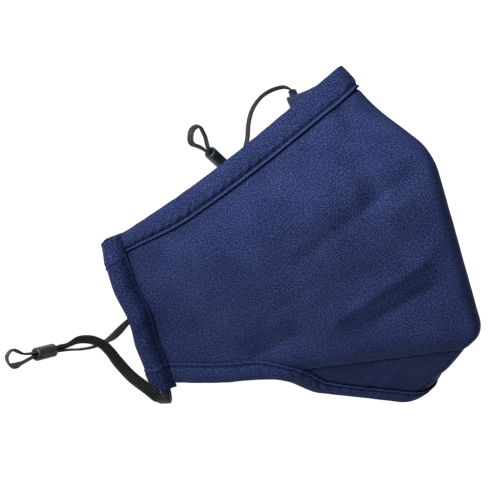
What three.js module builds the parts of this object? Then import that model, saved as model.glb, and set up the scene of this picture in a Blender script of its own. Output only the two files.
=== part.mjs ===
// A navy cloth face mask with elastic ear loops and cord locks, standing like a tent on its two ear sides.
// Millimetres, +Z up. X runs from ear to ear, Y from the nose (-) to the chin (+).
// The mask stands on the ear sides as it does when it is put down open: the folded front is the ridge.

import * as THREE from 'three';
import { mergeVertices } from 'three/addons/utils/BufferGeometryUtils.js';

// Overall sizes
const earSpan = 130;
const earEdgeLength = 69;
const frontHeight = 126.5;
const frontLength = 84;
const frontRise = 1.6;
const noseSetback = 17.6;
const noseLength = 50;
const noseSlope = THREE.MathUtils.degToRad(45.9);
const noseHollow = 3.4;
const earSplay = 6;
const splayTurn = THREE.MathUtils.degToRad(75);
const chinLength = 54.6;
const chinSlope = THREE.MathUtils.degToRad(49.6);
const chinTurnUnder = 11.2;

// Roundings of the folded front, seen from the side
const noseHollowRounding = 6;
const noseCornerRounding = 9;
const chinCornerRounding = 6;

// Roundings across the fold, and the soft fullness of each cheek
const ridgeRadius = 4;
const chinRadius = 12;
const cheekFullness = 5;
const chinFullness = 2;
const noseEdgeDip = 1.8;
const lowerEdgeSag = 3.1;

// Cloth, hems and side casings
const clothWall = 1.5;
const seamGap = 0.3;
const turnedSeamGap = 0.45;
const hemWidth = 10.4;
const hemWall = 0.9;
const hemPuff = 0.6;
const clothInset = 1.7;
const turnInset = 1.6;
const creaseStep = 0.8;
const creaseLead = 0.5;
const creaseTurn = 4;
const casingWidth = 7.8;
const casingWall = 0.9;
const casingBore = 2.4;
const casingPucker = 0.35;
const loopLift = 2.7;
const loopLiftReach = 15;
const casingSetIn = 2.4;
const casingCorner = 0.4;
const casingShoulder = 1.6;
const casingRows = 14;
const hemFoldRound = 0.5;
const hemFoldHalf = 1.1;

// Soft folds pressed into the cheeks
const foldWidth = 8;
const foldDepth = 1.3;

// Elastic and cord locks
const elasticWidth = 1.7;
const elasticThickness = 1.3;
const lockLength = 10.5;
const lockDiameter = 5.5;
const lockBore = 4.2;
const lockRounding = 0.9;
const strandSpread = 0.82;
const strandLead = 1.5;

// Where the chin edge starts to turn under and over how far, and where the chin cloth starts, as shares of the
// way from the ear edge to the front
const turnUnderStart = 0.25;
const turnUnderReach = 0.35;
const chinClothStart = 0.43;
// The share of each row that rounds over the fold
const foldShare = 0.06;
// How much of the splay and of the fullness is left at the nose edge, and how soon the full splay is reached
const splayAtNose = 0.75;
const splayRise = 0.15;
const fullnessAtEnds = 0.55;
// Waves of the nose edge's dip from ear to front, and where the lower edge sags and how far to each side
const noseDipWaves = 0.64;
const sagMiddle = 0.22;
const sagReach = 0.2;

// Fineness of the faceted cloth
const cheekColumns = 18;
const foldColumns = 6;
const cheekRows = 20;
const chinRows = 8;
const loopSteps = 78;

// Soft folds: where each starts and ends, as shares from the ear edge to the front and from the nose to the
// chin, with its width and depth as shares of foldWidth and foldDepth. A negative depth is a hollow.
const softFolds = [
  { fromEar: 0.95, fromNose: 0.36, toEar: 0.53, toNose: 0.5, width: 1.0, depth: -1.0 },
  { fromEar: 0.83, fromNose: 0.22, toEar: 0.78, toNose: 0.37, width: 0.8, depth: -0.8 },
  { fromEar: 0.9, fromNose: 0.1, toEar: 0.87, toNose: 0.2, width: 0.5, depth: -0.9 },
  { fromEar: 0.78, fromNose: 0.16, toEar: 0.74, toNose: 0.36, width: 0.6, depth: 0.6 },
  { fromEar: 0.87, fromNose: 0.46, toEar: 0.74, toNose: 0.44, width: 0.6, depth: 0.6 },
  { fromEar: 0.9, fromNose: 0.62, toEar: 0.6, toNose: 0.77, width: 0.8, depth: 0.8 },
  { fromEar: 0.88, fromNose: 0.74, toEar: 0.68, toNose: 0.82, width: 0.7, depth: -0.8 },
  { fromEar: 0.46, fromNose: 0.8, toEar: 0.3, toNose: 0.88, width: 0.9, depth: -0.7 },
  { fromEar: 0.2, fromNose: 0.16, toEar: 0.62, toNose: 0.14, width: 0.9, depth: -0.6 },
];

// Side profile of the folded front, in the plane of symmetry: x of each point is world Y, y is world Z
const along = (angle, length) => new THREE.Vector2(Math.cos(angle) * length, Math.sin(angle) * length);
const noseCorner = new THREE.Vector2(-noseSetback, frontHeight);
const noseEnd = noseCorner.clone().sub(along(noseSlope, noseLength));
const chinCorner = noseCorner.clone().add(new THREE.Vector2(frontLength, frontRise));
const chinEnd = chinCorner.clone().add(along(-chinSlope, chinLength));
const turnUnderEnd = chinCorner.clone().add(along(-chinSlope, chinTurnUnder));
const hollowPoint = noseEnd.clone().lerp(noseCorner, 0.4)
  .add(along(noseSlope - Math.PI / 2, noseHollow));

// Draws a line through the points with the inner corners rounded, each starting its bend at its own distance.
function roundedLine(points, roundings) {
  const path = new THREE.Path();
  path.moveTo(points[0].x, points[0].y);
  roundings.forEach((rounding, index) => {
    const corner = points[index + 1];
    const before = corner.clone().lerp(points[index], rounding / corner.distanceTo(points[index]));
    const after = corner.clone().lerp(points[index + 2], rounding / corner.distanceTo(points[index + 2]));
    path.lineTo(before.x, before.y);
    path.quadraticCurveTo(corner.x, corner.y, after.x, after.y);
  });
  path.lineTo(points.at(-1).x, points.at(-1).y);
  return path;
}

const frontLine = roundedLine(
  [noseEnd, hollowPoint, noseCorner, chinCorner, turnUnderEnd],
  [noseHollowRounding, noseCornerRounding, chinCornerRounding],
);
const frontLineLength = frontLine.getLength();

const { lerp, clamp, smoothstep } = THREE.MathUtils;

// The casing stands outside the cheek's foot, so the foot lies in from the ear edge by what the casing needs.
const casingThickness = casingBore + 2 * casingWall;
const flankSlope = Math.atan2(frontHeight, earSpan / 2);
const footHalfSpan = earSpan / 2 - (casingThickness + seamGap) / Math.sin(flankSlope);
const flankLength = Math.hypot(frontHeight, footHalfSpan);

// How far the ear edge stands out from the parallel: the two sides splay most a little below the nose corner
function footSpan(row) {
  const splay = Math.cos(clamp(row, 0, 1) * splayTurn);
  return footHalfSpan + earSplay * splay * lerp(splayAtNose, 1, smoothstep(row, 0, splayRise));
}

// A point of the folded front at a share of its length, carried straight on past the nose end
function frontPoint(row) {
  const beyond = hollowPoint.clone().sub(noseEnd).setLength(Math.min(row, 0) * frontLineLength);
  return frontLine.getPoint(clamp(row, 0, 1)).add(beyond);
}

// How far the ear edge lifts where the loop runs under it: only the right side, whose loop lies outside
function earEdgeLift(side, length) {
  if (side < 0) {
    return 0;
  }
  const away = Math.abs(length - earEdgeLength * 0.5) / loopLiftReach;
  return away < 1 ? loopLift * Math.cos(away * Math.PI / 2) ** 2 : 0;
}

// The length of the cloth from nose edge to chin edge at a share of the way from the ear edge to the front
function panelDepth(share) {
  return lerp(earEdgeLength, frontLineLength, clamp(share, 0, 1));
}

// A row from a foot on one side up to the crown, where it rounds over the fold on a circle that the row's
// straight part touches. Share 0 is the foot and 1 the crown. Returns the point and the outward direction.
function tentRow(foot, crown, radius, roundShare, share) {
  const down = new THREE.Vector2(foot.y - crown.x, foot.z - crown.y);
  const drop = down.length() - radius;
  down.normalize();
  const centre = crown.clone().addScaledVector(down, radius);
  const touch = Math.atan2(-drop, foot.x) + Math.acos(radius / Math.hypot(foot.x, drop));
  const straight = Math.min(share / (1 - roundShare), 1);
  const turn = lerp(touch, Math.PI / 2, clamp((share - 1 + roundShare) / roundShare, 0, 1));
  const onArc = share > 1 - roundShare;
  const across = onArc ? radius * Math.cos(turn) : lerp(foot.x, radius * Math.cos(touch), straight);
  const up = onArc ? radius * Math.sin(turn) : lerp(-drop, radius * Math.sin(touch), straight);
  return {
    point: new THREE.Vector3(across, centre.x - down.x * up, centre.y - down.y * up),
    outward: new THREE.Vector3(Math.cos(turn), -down.x * Math.sin(turn), -down.y * Math.sin(turn)),
  };
}

// How far the soft folds push the cloth out at one place
function foldHeight(share, down) {
  const place = new THREE.Vector2(share * flankLength, (down - 0.5) * panelDepth(share));
  const height = softFolds.reduce((sum, fold) => {
    const start = new THREE.Vector2(fold.fromEar * flankLength, (fold.fromNose - 0.5) * panelDepth(fold.fromEar));
    const end = new THREE.Vector2(fold.toEar * flankLength, (fold.toNose - 0.5) * panelDepth(fold.toEar));
    const run = end.clone().sub(start);
    const part = clamp(place.clone().sub(start).dot(run) / run.lengthSq(), 0, 1);
    const distance = place.distanceTo(start.addScaledVector(run, part)) / (fold.width * foldWidth);
    return sum + fold.depth * foldDepth * Math.exp(-distance * distance);
  }, 0);
  return height * smoothstep(share, 0.06, 0.2) * smoothstep(1 - share, 0.02, 0.12);
}

// Outer face of the cheeks. across runs from -1 at the left ear edge over 0 at the front to 1 at the right one,
// and down from 0 at the nose edge to 1 at the chin crease.
function cheekFace(across, down) {
  const side = across < 0 ? -1 : 1;
  const share = 1 - Math.abs(across);
  const bow = 4 * clamp(share, 0, 1) * (1 - clamp(share, 0, 1));
  const dip = noseEdgeDip * Math.sin(2 * Math.PI * noseDipWaves * clamp(share, 0, 1));
  const row = down + (dip / panelDepth(share)) * (1 - down);
  const edge = row * earEdgeLength;
  const foot = new THREE.Vector3(footSpan(row), edge, earEdgeLift(side, edge));
  const { point, outward } = tentRow(foot, frontPoint(row), ridgeRadius, foldShare, share);
  const full = cheekFullness * bow * bow * lerp(fullnessAtEnds, 1, Math.sin(Math.PI * clamp(row, 0, 1)));
  point.addScaledVector(outward, full + foldHeight(share, clamp(row, 0, 1)));
  point.y += lowerEdgeSag * clamp(row, 0, 1) ** 2 * Math.exp(-(((share - sagMiddle) / sagReach) ** 2));
  point.x *= side;
  return point;
}

// Outward direction of a face, from its slope in both directions
function outwardOf(face, across, down) {
  const step = 0.004;
  const alongAcross = face(across + step, down).sub(face(across - step, down));
  const low = Math.max(down - step, 0);
  const high = Math.min(down + step, 1);
  return face(across, high).sub(face(across, low)).cross(alongAcross).normalize().negate();
}

// The fold line between cheeks and chin cloth, and the free edge of the chin
const creaseLine = (across) => cheekFace(across, 1);

function chinEdge(across) {
  const share = 1 - Math.abs(across);
  if (share <= turnUnderStart) {
    return creaseLine(across);
  }
  const side = across < 0 ? -1 : 1;
  const foot = creaseLine(1 - turnUnderStart);
  const rest = 1 - turnUnderStart;
  const { point } = tentRow(foot, chinEnd, chinRadius, foldShare / rest, (share - turnUnderStart) / rest);
  point.x *= side;
  const turned = smoothstep(share, turnUnderStart, turnUnderStart + turnUnderReach);
  return creaseLine(across).lerp(point, turned);
}

const chinDepth = (across) => creaseLine(across).distanceTo(chinEdge(across));

// Outer face of the chin cloth: down 0 is the crease and 1 the free edge
function chinFace(across, down) {
  const point = creaseLine(across).lerp(chinEdge(across), down);
  const full = chinFullness * 4 * down * (1 - down) * smoothstep(chinDepth(across), hemWidth, 3 * hemWidth);
  point.y += full;
  return point;
}

// Outward direction on the chin cloth, turning from the cheek's at the crease to its own
function chinOutward(across, down) {
  const depth = chinDepth(across);
  const cheek = outwardOf(cheekFace, across, 1);
  const side = across < 0 ? -1 : 1;
  const share = Math.min(Math.abs(across), 1 - chinClothStart);
  const own = outwardOf(chinFace, side * share, clamp(down, 0.1, 0.9));
  const turned = smoothstep(down * depth, 0, creaseTurn) * smoothstep(depth, 0, hemWidth);
  return cheek.lerp(own, turned).normalize();
}

// The cloth measured from its lower edge: the chin cloth first, then the cheek above the crease
function lowerPlace(across, distance) {
  const depth = chinDepth(across);
  if (distance <= depth) {
    const down = 1 - distance / Math.max(depth, 1e-6);
    return { point: chinFace(across, down), outward: chinOutward(across, down) };
  }
  const down = 1 - (distance - depth) / panelDepth(1 - Math.abs(across));
  return { point: cheekFace(across, down), outward: outwardOf(cheekFace, across, down) };
}

// The cloth measured from its upper edge
function upperPlace(across, distance) {
  const down = distance / panelDepth(1 - Math.abs(across));
  return { point: cheekFace(across, down), outward: outwardOf(cheekFace, across, down) };
}

// Even steps from one value to another
const steps = (from, to, count) => Array.from({ length: count + 1 }, (_, i) => lerp(from, to, i / count));

// Columns of the cloth over the whole width, fine over the fold and even on the cheeks. Every piece of cloth
// takes its columns from the same list, so that neighbours bend at the same places.
function clothColumns(limit, ownEnds) {
  const cheek = steps(1, foldShare, cheekColumns).filter((value) => value <= limit);
  const fold = steps(foldShare, -foldShare, foldColumns).slice(1, -1);
  const near = [...ownEnds, ...cheek];
  return [...near, ...fold, ...near.map((value) => -value).reverse()];
}

// Builds a closed body from rings of points: every ring has the same loops, and the caps close both ends.
function loft(rings, loops, capTriangles) {
  const positions = rings.flat().flatMap((point) => point.toArray());
  const ringSize = rings[0].length;
  const indices = [];
  for (let ring = 0; ring < rings.length - 1; ring += 1) {
    for (const [first, count] of loops) {
      for (let k = 0; k < count; k += 1) {
        const a = ring * ringSize + first + k;
        const b = ring * ringSize + first + (k + 1) % count;
        indices.push(a, b, b + ringSize, a, b + ringSize, a + ringSize);
      }
    }
  }
  const last = (rings.length - 1) * ringSize;
  for (const [a, b, c] of capTriangles) {
    indices.push(a, c, b, last + a, last + b, last + c);
  }
  return closedGeometry(positions, indices);
}

// Makes a geometry whose faces point out, whichever way round its points were listed
function closedGeometry(positions, indices) {
  const point = (index) => new THREE.Vector3().fromArray(positions, index * 3);
  let volume = 0;
  for (let i = 0; i < indices.length; i += 3) {
    const [a, b, c] = indices.slice(i, i + 3).map(point);
    volume += a.dot(b.cross(c));
  }
  const ordered = volume < 0 ? indices.toReversed() : indices;
  const geometry = new THREE.BufferGeometry();
  geometry.setAttribute('position', new THREE.Float32BufferAttribute(positions, 3));
  geometry.setIndex(ordered);
  geometry.computeVertexNormals();
  return geometry;
}

// A cloth wall over a grid: each column is a ring that goes down the outer face and back up the inner one
function clothWallGeometry(columns, rowCount, outerAndInner) {
  const rings = columns.map((across) => {
    const pairs = steps(0, 1, rowCount).map((row) => outerAndInner(across, row));
    return [...pairs.map((pair) => pair[0]), ...pairs.map((pair) => pair[1]).reverse()];
  });
  const size = 2 * (rowCount + 1);
  const caps = [];
  for (let k = 0; k < rowCount; k += 1) {
    caps.push([k, k + 1, size - 2 - k], [k, size - 2 - k, size - 1 - k]);
  }
  return loft(rings, [[0, size]], caps);
}

// A band with a drawn profile, carried over stations by a function that places each profile point
function bandGeometry(outline, holes, stations, place) {
  const loops = [];
  let first = 0;
  for (const loop of [outline, ...holes]) {
    loops.push([first, loop.length]);
    first += loop.length;
  }
  const profile = [...outline, ...holes.flat()];
  const caps = THREE.ShapeUtils.triangulateShape(outline, holes);
  return loft(stations.map((station) => profile.map((point) => place(point, station))), loops, caps);
}

// Cheeks: one cloth over both sides, folded at the front
function makeMainPanel() {
  return clothWallGeometry(clothColumns(1, []), cheekRows, (across, row) => {
    const share = 1 - Math.abs(across);
    const depth = panelDepth(share);
    const beforeTurn = turnInset * smoothstep(share, turnUnderStart * 0.6, turnUnderStart);
    const lower = Math.max(clothInset + beforeTurn - chinDepth(across), seamGap / 2);
    const down = lerp(clothInset / depth, 1 - lower / depth, row);
    const outer = cheekFace(across, down);
    const outward = outwardOf(cheekFace, across, down);
    const inner = outer.clone().addScaledVector(outward, -clothWall);
    if (share === 0) {
      inner.copy(outer);
      inner.x -= Math.sign(across) * clothWall / Math.abs(outward.x);
    }
    return [outer, inner];
  });
}

// Chin cloth: the part that turns under below the crease, set in a little behind the cheek's edge
function makeChinPanel() {
  return clothWallGeometry(clothColumns(1 - chinClothStart, []), chinRows, (across, row) => {
    const depth = chinDepth(across);
    const down = lerp(seamGap / 2 / depth, 1 - clothInset / depth, row);
    const outward = chinOutward(across, down);
    const setIn = creaseStep * smoothstep(depth * (1 - down), hemWidth + creaseLead, hemWidth + creaseTurn);
    const outer = chinFace(across, down).addScaledVector(outwardOf(cheekFace, across, 1), -setIn);
    return [outer, outer.clone().addScaledVector(outward, -clothWall)];
  });
}

// Profile of a hem folded round a cloth edge: x is the distance from the folded edge, y the height above the
// cloth's outer face. The slot between its two legs holds the cloth with a gap all round.
function hemProfile(gap) {
  const top = gap + hemWall;
  const under = -clothWall - gap;
  const middle = -clothWall / 2;
  const end = clothInset - gap;
  return [
    [hemWidth, gap], [hemWidth, top], [hemWidth * 0.75, top + hemPuff * 0.8], [hemWidth * 0.5, top + hemPuff],
    [hemWidth * 0.25, top + hemPuff * 0.7], [hemFoldRound, middle + hemFoldHalf], [0, middle],
    [hemFoldRound, middle - hemFoldHalf],
    [hemWidth * 0.25, under - hemWall], [hemWidth * 0.6, under - hemWall], [hemWidth, under - hemWall],
    [hemWidth, under], [hemWidth * 0.7, under], [hemWidth * 0.45, under], [end, under],
    [end, gap], [hemWidth * 0.35, gap], [hemWidth * 0.55, gap], [hemWidth * 0.75, gap],
  ].map(([x, y]) => new THREE.Vector2(x, y));
}

// The hems stop beside the side casings
const hemLimit = 1 - (casingWidth + seamGap + casingThickness * 0.45) / flankLength;

function makeHem(placeOf, gap) {
  const stations = clothColumns(hemLimit - 0.01, [hemLimit]);
  return bandGeometry(hemProfile(gap), [], stations, (profilePoint, across) => {
    const { point, outward } = placeOf(across, profilePoint.x);
    return point.addScaledVector(outward, profilePoint.y);
  });
}

// Side casing: a flat hollow channel on the outside of the ear edge, standing on the table. x of the profile is
// the height up the cheek and y the distance out from its face.
function casingProfile() {
  const near = seamGap;
  const far = seamGap + casingThickness;
  const outline = [
    [0, near], [casingWidth, near], [casingWidth + casingCorner / 2, near + casingWall],
    [casingWidth - casingCorner, far - casingWall], [casingWidth - casingShoulder, far], [casingWidth / 2, far],
    [casingShoulder, far], [0, far - casingCorner],
  ];
  const [low, high] = [near + casingWall, far - casingWall];
  const [left, right] = [casingWall, casingWidth - casingWall];
  const hole = [
    [left + casingCorner, low], [left, low + casingCorner], [left, high - casingCorner], [left + casingCorner, high],
    [right - casingWall, high], [right, high - casingShoulder * 0.7], [right, low],
  ];
  const points = (list) => list.map(([x, y]) => new THREE.Vector2(x, y));
  return { outline: points(outline), hole: points(hole) };
}

function makeSideCasing(side) {
  const { outline, hole } = casingProfile();
  const hemSteps = [hemWidth - 0.2, hemWidth + 0.2];
  const middle = steps(hemSteps[1], earEdgeLength - hemSteps[1], casingRows);
  const stations = [casingSetIn, hemSteps[0], ...middle, earEdgeLength - hemSteps[0], earEdgeLength];
  return bandGeometry(outline, [hole], stations, (profilePoint, length) => {
    const down = length / earEdgeLength;
    const foot = cheekFace(side, down);
    const up = cheekFace(side * (1 - casingWidth / flankLength), down).sub(foot).normalize();
    const outward = outwardOf(cheekFace, side * (1 - 0.5 * casingWidth / flankLength), down);
    outward.addScaledVector(up, -outward.dot(up)).normalize();
    const inHem = length <= hemSteps[0] || length >= earEdgeLength - hemSteps[0];
    const pucker = inHem ? casingPucker : casingPucker * Math.sin(length * Math.PI * 5 / earEdgeLength) ** 2;
    const outside = profilePoint.y > casingThickness * 0.9 && profilePoint.x > casingShoulder ? pucker : 0;
    const toTable = -profilePoint.y * (outward.z / up.z) * (1 - profilePoint.x / casingWidth);
    const point = foot.clone().addScaledVector(up, profilePoint.x + toTable);
    return point.addScaledVector(outward, profilePoint.y + outside);
  });
}

// A lock is a soft tube with a plain mouth on the side of the mask and a rounded far end
const locks = {
  right: { mouth: [113.1, 21.5], end: [122.8, 17.6] },
  left: { mouth: [-10.2, 3.7], end: [-4.6, -5.6] },
};

function lockAxis(name) {
  const { mouth, end } = locks[name];
  const start = new THREE.Vector3(...mouth, lockDiameter / 2);
  const direction = new THREE.Vector3(...end, lockDiameter / 2).sub(start).normalize();
  return { start, direction };
}

function makeCordLock(name) {
  const outer = lockDiameter / 2;
  const inner = lockBore / 2;
  const profile = [
    [inner, 0], [outer - 0.15, 0], [outer, 0.3], [outer, lockLength - lockRounding],
    [outer - lockRounding * 0.3, lockLength - lockRounding * 0.3], [inner + 0.1, lockLength], [inner, lockLength - 0.1],
    [inner, 0],
  ].map(([x, y]) => new THREE.Vector2(x, y));
  const lathe = new THREE.LatheGeometry(profile, 16);
  lathe.deleteAttribute('normal');
  lathe.deleteAttribute('uv');
  const geometry = mergeVertices(lathe, 1e-3);
  const { start, direction } = lockAxis(name);
  const turn = new THREE.Quaternion().setFromUnitVectors(new THREE.Vector3(0, 1, 0), direction);
  geometry.applyQuaternion(turn).translate(start.x, start.y, start.z);
  return closedGeometry([...geometry.attributes.position.array], [...geometry.index.array]);
}

// Routes of the elastic, chosen by hand: out of the casing's chin end, through the lock, round its small end
// loop, back through the lock and into the casing's nose end.
const loopRoutes = {
  right: {
    toLock: [
      [63.2, 60, 4.1], [62.6, 66, 4.1], [61.9, 71, 4], [60.6, 75.3, 3.6], [60, 78.6, 2.8], [61.7, 80.4, 2.1],
      [64.3, 77.6, 1.6], [66.6, 73.4, 1.2], [69.6, 68, 1.1], [75.6, 58.4, 1.1], [80.6, 47.8, 1.3],
      [84.2, 40.2, 2.6], [87.6, 34.6, 3.5], [92.4, 29.3, 3.3], [98.6, 25.6, 2.6], [105.6, 24, 2.6],
    ],
    endLoop: [[127.6, 14.4, 1.8], [132.4, 9.6, 1.2], [136.4, 10.3, 1.1], [136.2, 14.6, 1.1], [130.6, 17, 1.7]],
    fromLock: [
      [104.8, 26.6, 2.2], [97.4, 31, 1.2], [89.6, 34.4, 1.1], [79.6, 36.2, 1.1], [70.6, 35.8, 1.1], [63, 35.2, 1.1],
      [56.4, 33.2, 1.1], [52.6, 26.6, 1.1], [51.8, 20, 1.2], [52.8, 14, 1.6], [53.8, 7, 2.8], [55.3, 1.6, 3.6],
      [58, -1.9, 4], [61.2, -2.7, 4.1], [64.1, -1.5, 4.1], [65.3, 2, 4.1], [66, 6, 4.1], [66.5, 10, 4.1],
    ],
  },
  left: {
    toLock: [
      [-63.2, 60, 4.1], [-62.6, 66, 4.1], [-62, 71.5, 4], [-60.2, 75.8, 3.6], [-56, 77.4, 2.8], [-51, 73.8, 1.7],
      [-46.6, 66, 1.1], [-42.6, 55.6, 1.1], [-35.6, 46.4, 1.1], [-25.6, 40.6, 1.1], [-17.8, 31.8, 1.1],
      [-15.2, 21.6, 1.4], [-14.4, 12.6, 2.4],
    ],
    endLoop: [[-0.9, -9.6, 1.9], [3, -14, 1.2], [0.6, -18.4, 1.1], [-4.4, -17.9, 1.1], [-5.9, -12.6, 1.6]],
    fromLock: [
      [-16.6, 11.6, 2.3], [-21.4, 11.8, 1.3], [-26.8, 6.6, 1.1], [-30.8, 2.4, 1.1], [-33.6, -2.4, 1.1],
      [-37.6, -6.6, 1.1], [-42.6, -8.8, 1.1], [-48.6, -9.6, 1.3], [-55, -9, 2.4], [-60.4, -7, 3.6],
      [-63.8, -3.6, 4.1], [-65, 0.8, 4.1], [-65.8, 5, 4.1], [-66.4, 9.5, 4.1],
    ],
  },
};

// Points of one strand through the lock, from mouth to end, on one side of the other strand
function strandInLock(name, side) {
  const { start, direction } = lockAxis(name);
  const beside = new THREE.Vector3(direction.y, -direction.x, 0).multiplyScalar(side * strandSpread);
  const end = lockLength;
  return [-strandLead, strandLead, end / 2, end - strandLead, end + strandLead]
    .map((distance) => start.clone().addScaledVector(direction, distance).add(beside));
}

function loopPoints(name) {
  const route = loopRoutes[name];
  const points = (list) => list.map((place) => new THREE.Vector3(...place));
  const firstSide = name === 'right' ? 1 : -1;
  return [
    ...points(route.toLock), ...strandInLock(name, firstSide), ...points(route.endLoop),
    ...strandInLock(name, -firstSide).reverse(), ...points(route.fromLock),
  ];
}

function makeEarLoop(name) {
  const path = new THREE.CatmullRomCurve3(loopPoints(name), false, 'centripetal');
  const section = new THREE.Shape();
  const corners = 8;
  for (let k = 0; k < corners; k += 1) {
    const angle = Math.PI / corners + (k * 2 * Math.PI) / corners;
    const x = Math.cos(angle) * elasticWidth / 2;
    const y = Math.sin(angle) * elasticThickness / 2;
    if (k === 0) {
      section.moveTo(x, y);
    } else {
      section.lineTo(x, y);
    }
  }
  section.closePath();
  return new THREE.ExtrudeGeometry(section, { steps: loopSteps, extrudePath: path, bevelEnabled: false });
}

// Materials: woven cotton for all the cloth, braided elastic and matt silicone
const cloth = (color, roughness) => new THREE.MeshStandardMaterial({ color, roughness, metalness: 0 });
const sides = [['right', 1], ['left', -1]];

const mask = new THREE.Group();

function addPiece(name, geometry, material) {
  const piece = new THREE.Mesh(geometry, material);
  piece.name = name;
  mask.add(piece);
}

addPiece('main_panel', makeMainPanel(), cloth('#2e3a60', 0.9));
addPiece('chin_panel', makeChinPanel(), cloth('#212a4f', 0.9));
addPiece('nose_hem', makeHem(upperPlace, seamGap), cloth('#2f3b64', 0.88));
addPiece('chin_hem', makeHem(lowerPlace, turnedSeamGap), cloth('#2b355c', 0.88));
for (const [name, side] of sides) {
  addPiece(`side_casing_${name}`, makeSideCasing(side), cloth('#2b385f', 0.88));
}

// The frame's origin is the middle of the cloth's footprint on the table.
const clothBox = new THREE.Box3().setFromObject(mask);
const footprint = clothBox.getCenter(new THREE.Vector3());

for (const [name] of sides) {
  addPiece(`ear_loop_${name}`, makeEarLoop(name), cloth('#17191b', 0.8));
  addPiece(`cord_lock_${name}`, makeCordLock(name), cloth('#3a3f42', 0.55));
}

mask.position.set(-footprint.x, -footprint.y, -clothBox.min.z);

const group = new THREE.Group();
group.add(mask);

export default group;
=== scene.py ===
import logging
import math
from collections.abc import Callable
from dataclasses import dataclass, field
from enum import Enum

import bpy
import numpy as np
from mathutils import Matrix, Vector


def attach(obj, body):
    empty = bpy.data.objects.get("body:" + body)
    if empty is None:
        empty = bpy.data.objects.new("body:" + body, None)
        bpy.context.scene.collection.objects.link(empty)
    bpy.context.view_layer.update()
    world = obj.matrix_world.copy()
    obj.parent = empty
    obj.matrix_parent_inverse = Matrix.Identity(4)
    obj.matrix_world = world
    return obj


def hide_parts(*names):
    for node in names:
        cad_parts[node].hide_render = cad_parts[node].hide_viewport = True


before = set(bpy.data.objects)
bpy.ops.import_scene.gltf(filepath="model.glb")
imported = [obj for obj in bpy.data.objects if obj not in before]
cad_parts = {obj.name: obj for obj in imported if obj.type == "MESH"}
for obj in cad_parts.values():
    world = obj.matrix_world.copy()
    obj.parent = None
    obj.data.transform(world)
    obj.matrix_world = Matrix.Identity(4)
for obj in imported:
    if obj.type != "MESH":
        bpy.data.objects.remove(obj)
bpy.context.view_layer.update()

# A folded navy cotton face mask with elastic ear loops and soft cord locks. It stands like a tent on its
# two ear sides. Every form is worked out in millimetres in the mask's own axes: x from ear to ear, y along
# the ear edge from the nose (0) to the chin, z up. One shift puts it where the CAD model stands.

LOG = logging.getLogger("face_mask")
# One millimetre in the frame's metres
MM = 0.001
ROOT = "root"
CLOTH_UV = "cloth_mm"
# Points that a smooth route gets between two of its own points before it is cut into even steps
POINTS_PER_SPAN = 24
# Radius of a stitch's thread, mm
THREAD_RADIUS = 0.2
# Half the length of a stitch as a share of its pitch
STITCH_HALF = 0.31
# Half the thickness that a cloth keeps at its very edge, mm
THINNEST = 0.05
# Where the hems' and the casings' own cloth coordinates start, mm, clear of the cheeks'
HEM_UV, CASING_UV = 200.0, 300.0
# Distances from a cloth's edge, mm, close enough together to round it
EDGE_STEPS = (0.0, 0.036, 0.12, 0.264, 0.48, 0.744, 1.14, 1.8)

Array = np.ndarray
Finish = bpy.types.Material
Piece = bpy.types.Object
Socket = bpy.types.NodeSocket


class Side(Enum):
    """The two ear sides, with the sign of their x."""

    RIGHT = 1
    LEFT = -1

    @property
    def word(self) -> str:
        """The side's name as the nodes spell it."""
        return self.name.lower()


class Edge(Enum):
    """The two hemmed edges of the cloth."""

    NOSE = "nose"
    CHIN = "chin"


def unit(vectors: Array) -> Array:
    """Vectors scaled to length one along their last axis."""
    return vectors / np.maximum(np.linalg.norm(vectors, axis=-1, keepdims=True), 1e-12)


def ease(value: Array, low: float, high: float) -> Array:
    """0 below low, 1 above high, and the smooth cubic 3t^2 - 2t^3 between them."""
    t = np.clip((np.asarray(value, float) - low) / (high - low), 0.0, 1.0)
    return t * t * (3.0 - 2.0 * t)


def bump(value: Array, middle: float, reach: float) -> Array:
    """A bell, exp(-d^2), of the distance d from the middle counted in reaches."""
    return np.exp(-(((value - middle) / reach) ** 2))


def mix(start: Array, end: Array, share: Array) -> Array:
    """The straight line from start to end."""
    return start + (end - start) * share


def run_along(line: Array) -> Array:
    """Distance run at each point of a line (n, k), from 0 at its first point."""
    return np.concatenate([[0.0], np.cumsum(np.linalg.norm(np.diff(line, axis=0), axis=1))])


def paired(across: Array, down: Array) -> tuple[Array, Array]:
    """Both as numbers in one common shape."""
    across, down = np.broadcast_arrays(np.asarray(across, float), np.asarray(down, float))
    return across, down


def side_of(across: Array) -> Array:
    """-1 on the left half, 1 on the right half and at the front."""
    return np.where(across < 0, -1.0, 1.0)


def ripple(place: Array, pitch: float, seed: int) -> Array:
    """An uneven wave along a line: three sines of nearby pitches whose phases come from the seed.

    Args:
        place: distance along the line, mm.
        pitch: mean distance from crest to crest, mm.
        seed: picks the phases.

    Returns:
        Values between about -1 and 1.
    """
    phases = np.random.default_rng(seed).uniform(0.0, 2.0 * np.pi, 3)
    ratios = np.array([1.0, 0.73, 1.37])
    weights = np.array([0.5, 0.3, 0.2])
    waves = [w * np.sin(2 * np.pi * place * r / pitch + p) for r, w, p in zip(ratios, weights, phases)]
    return np.sum(waves, axis=0)


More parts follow.
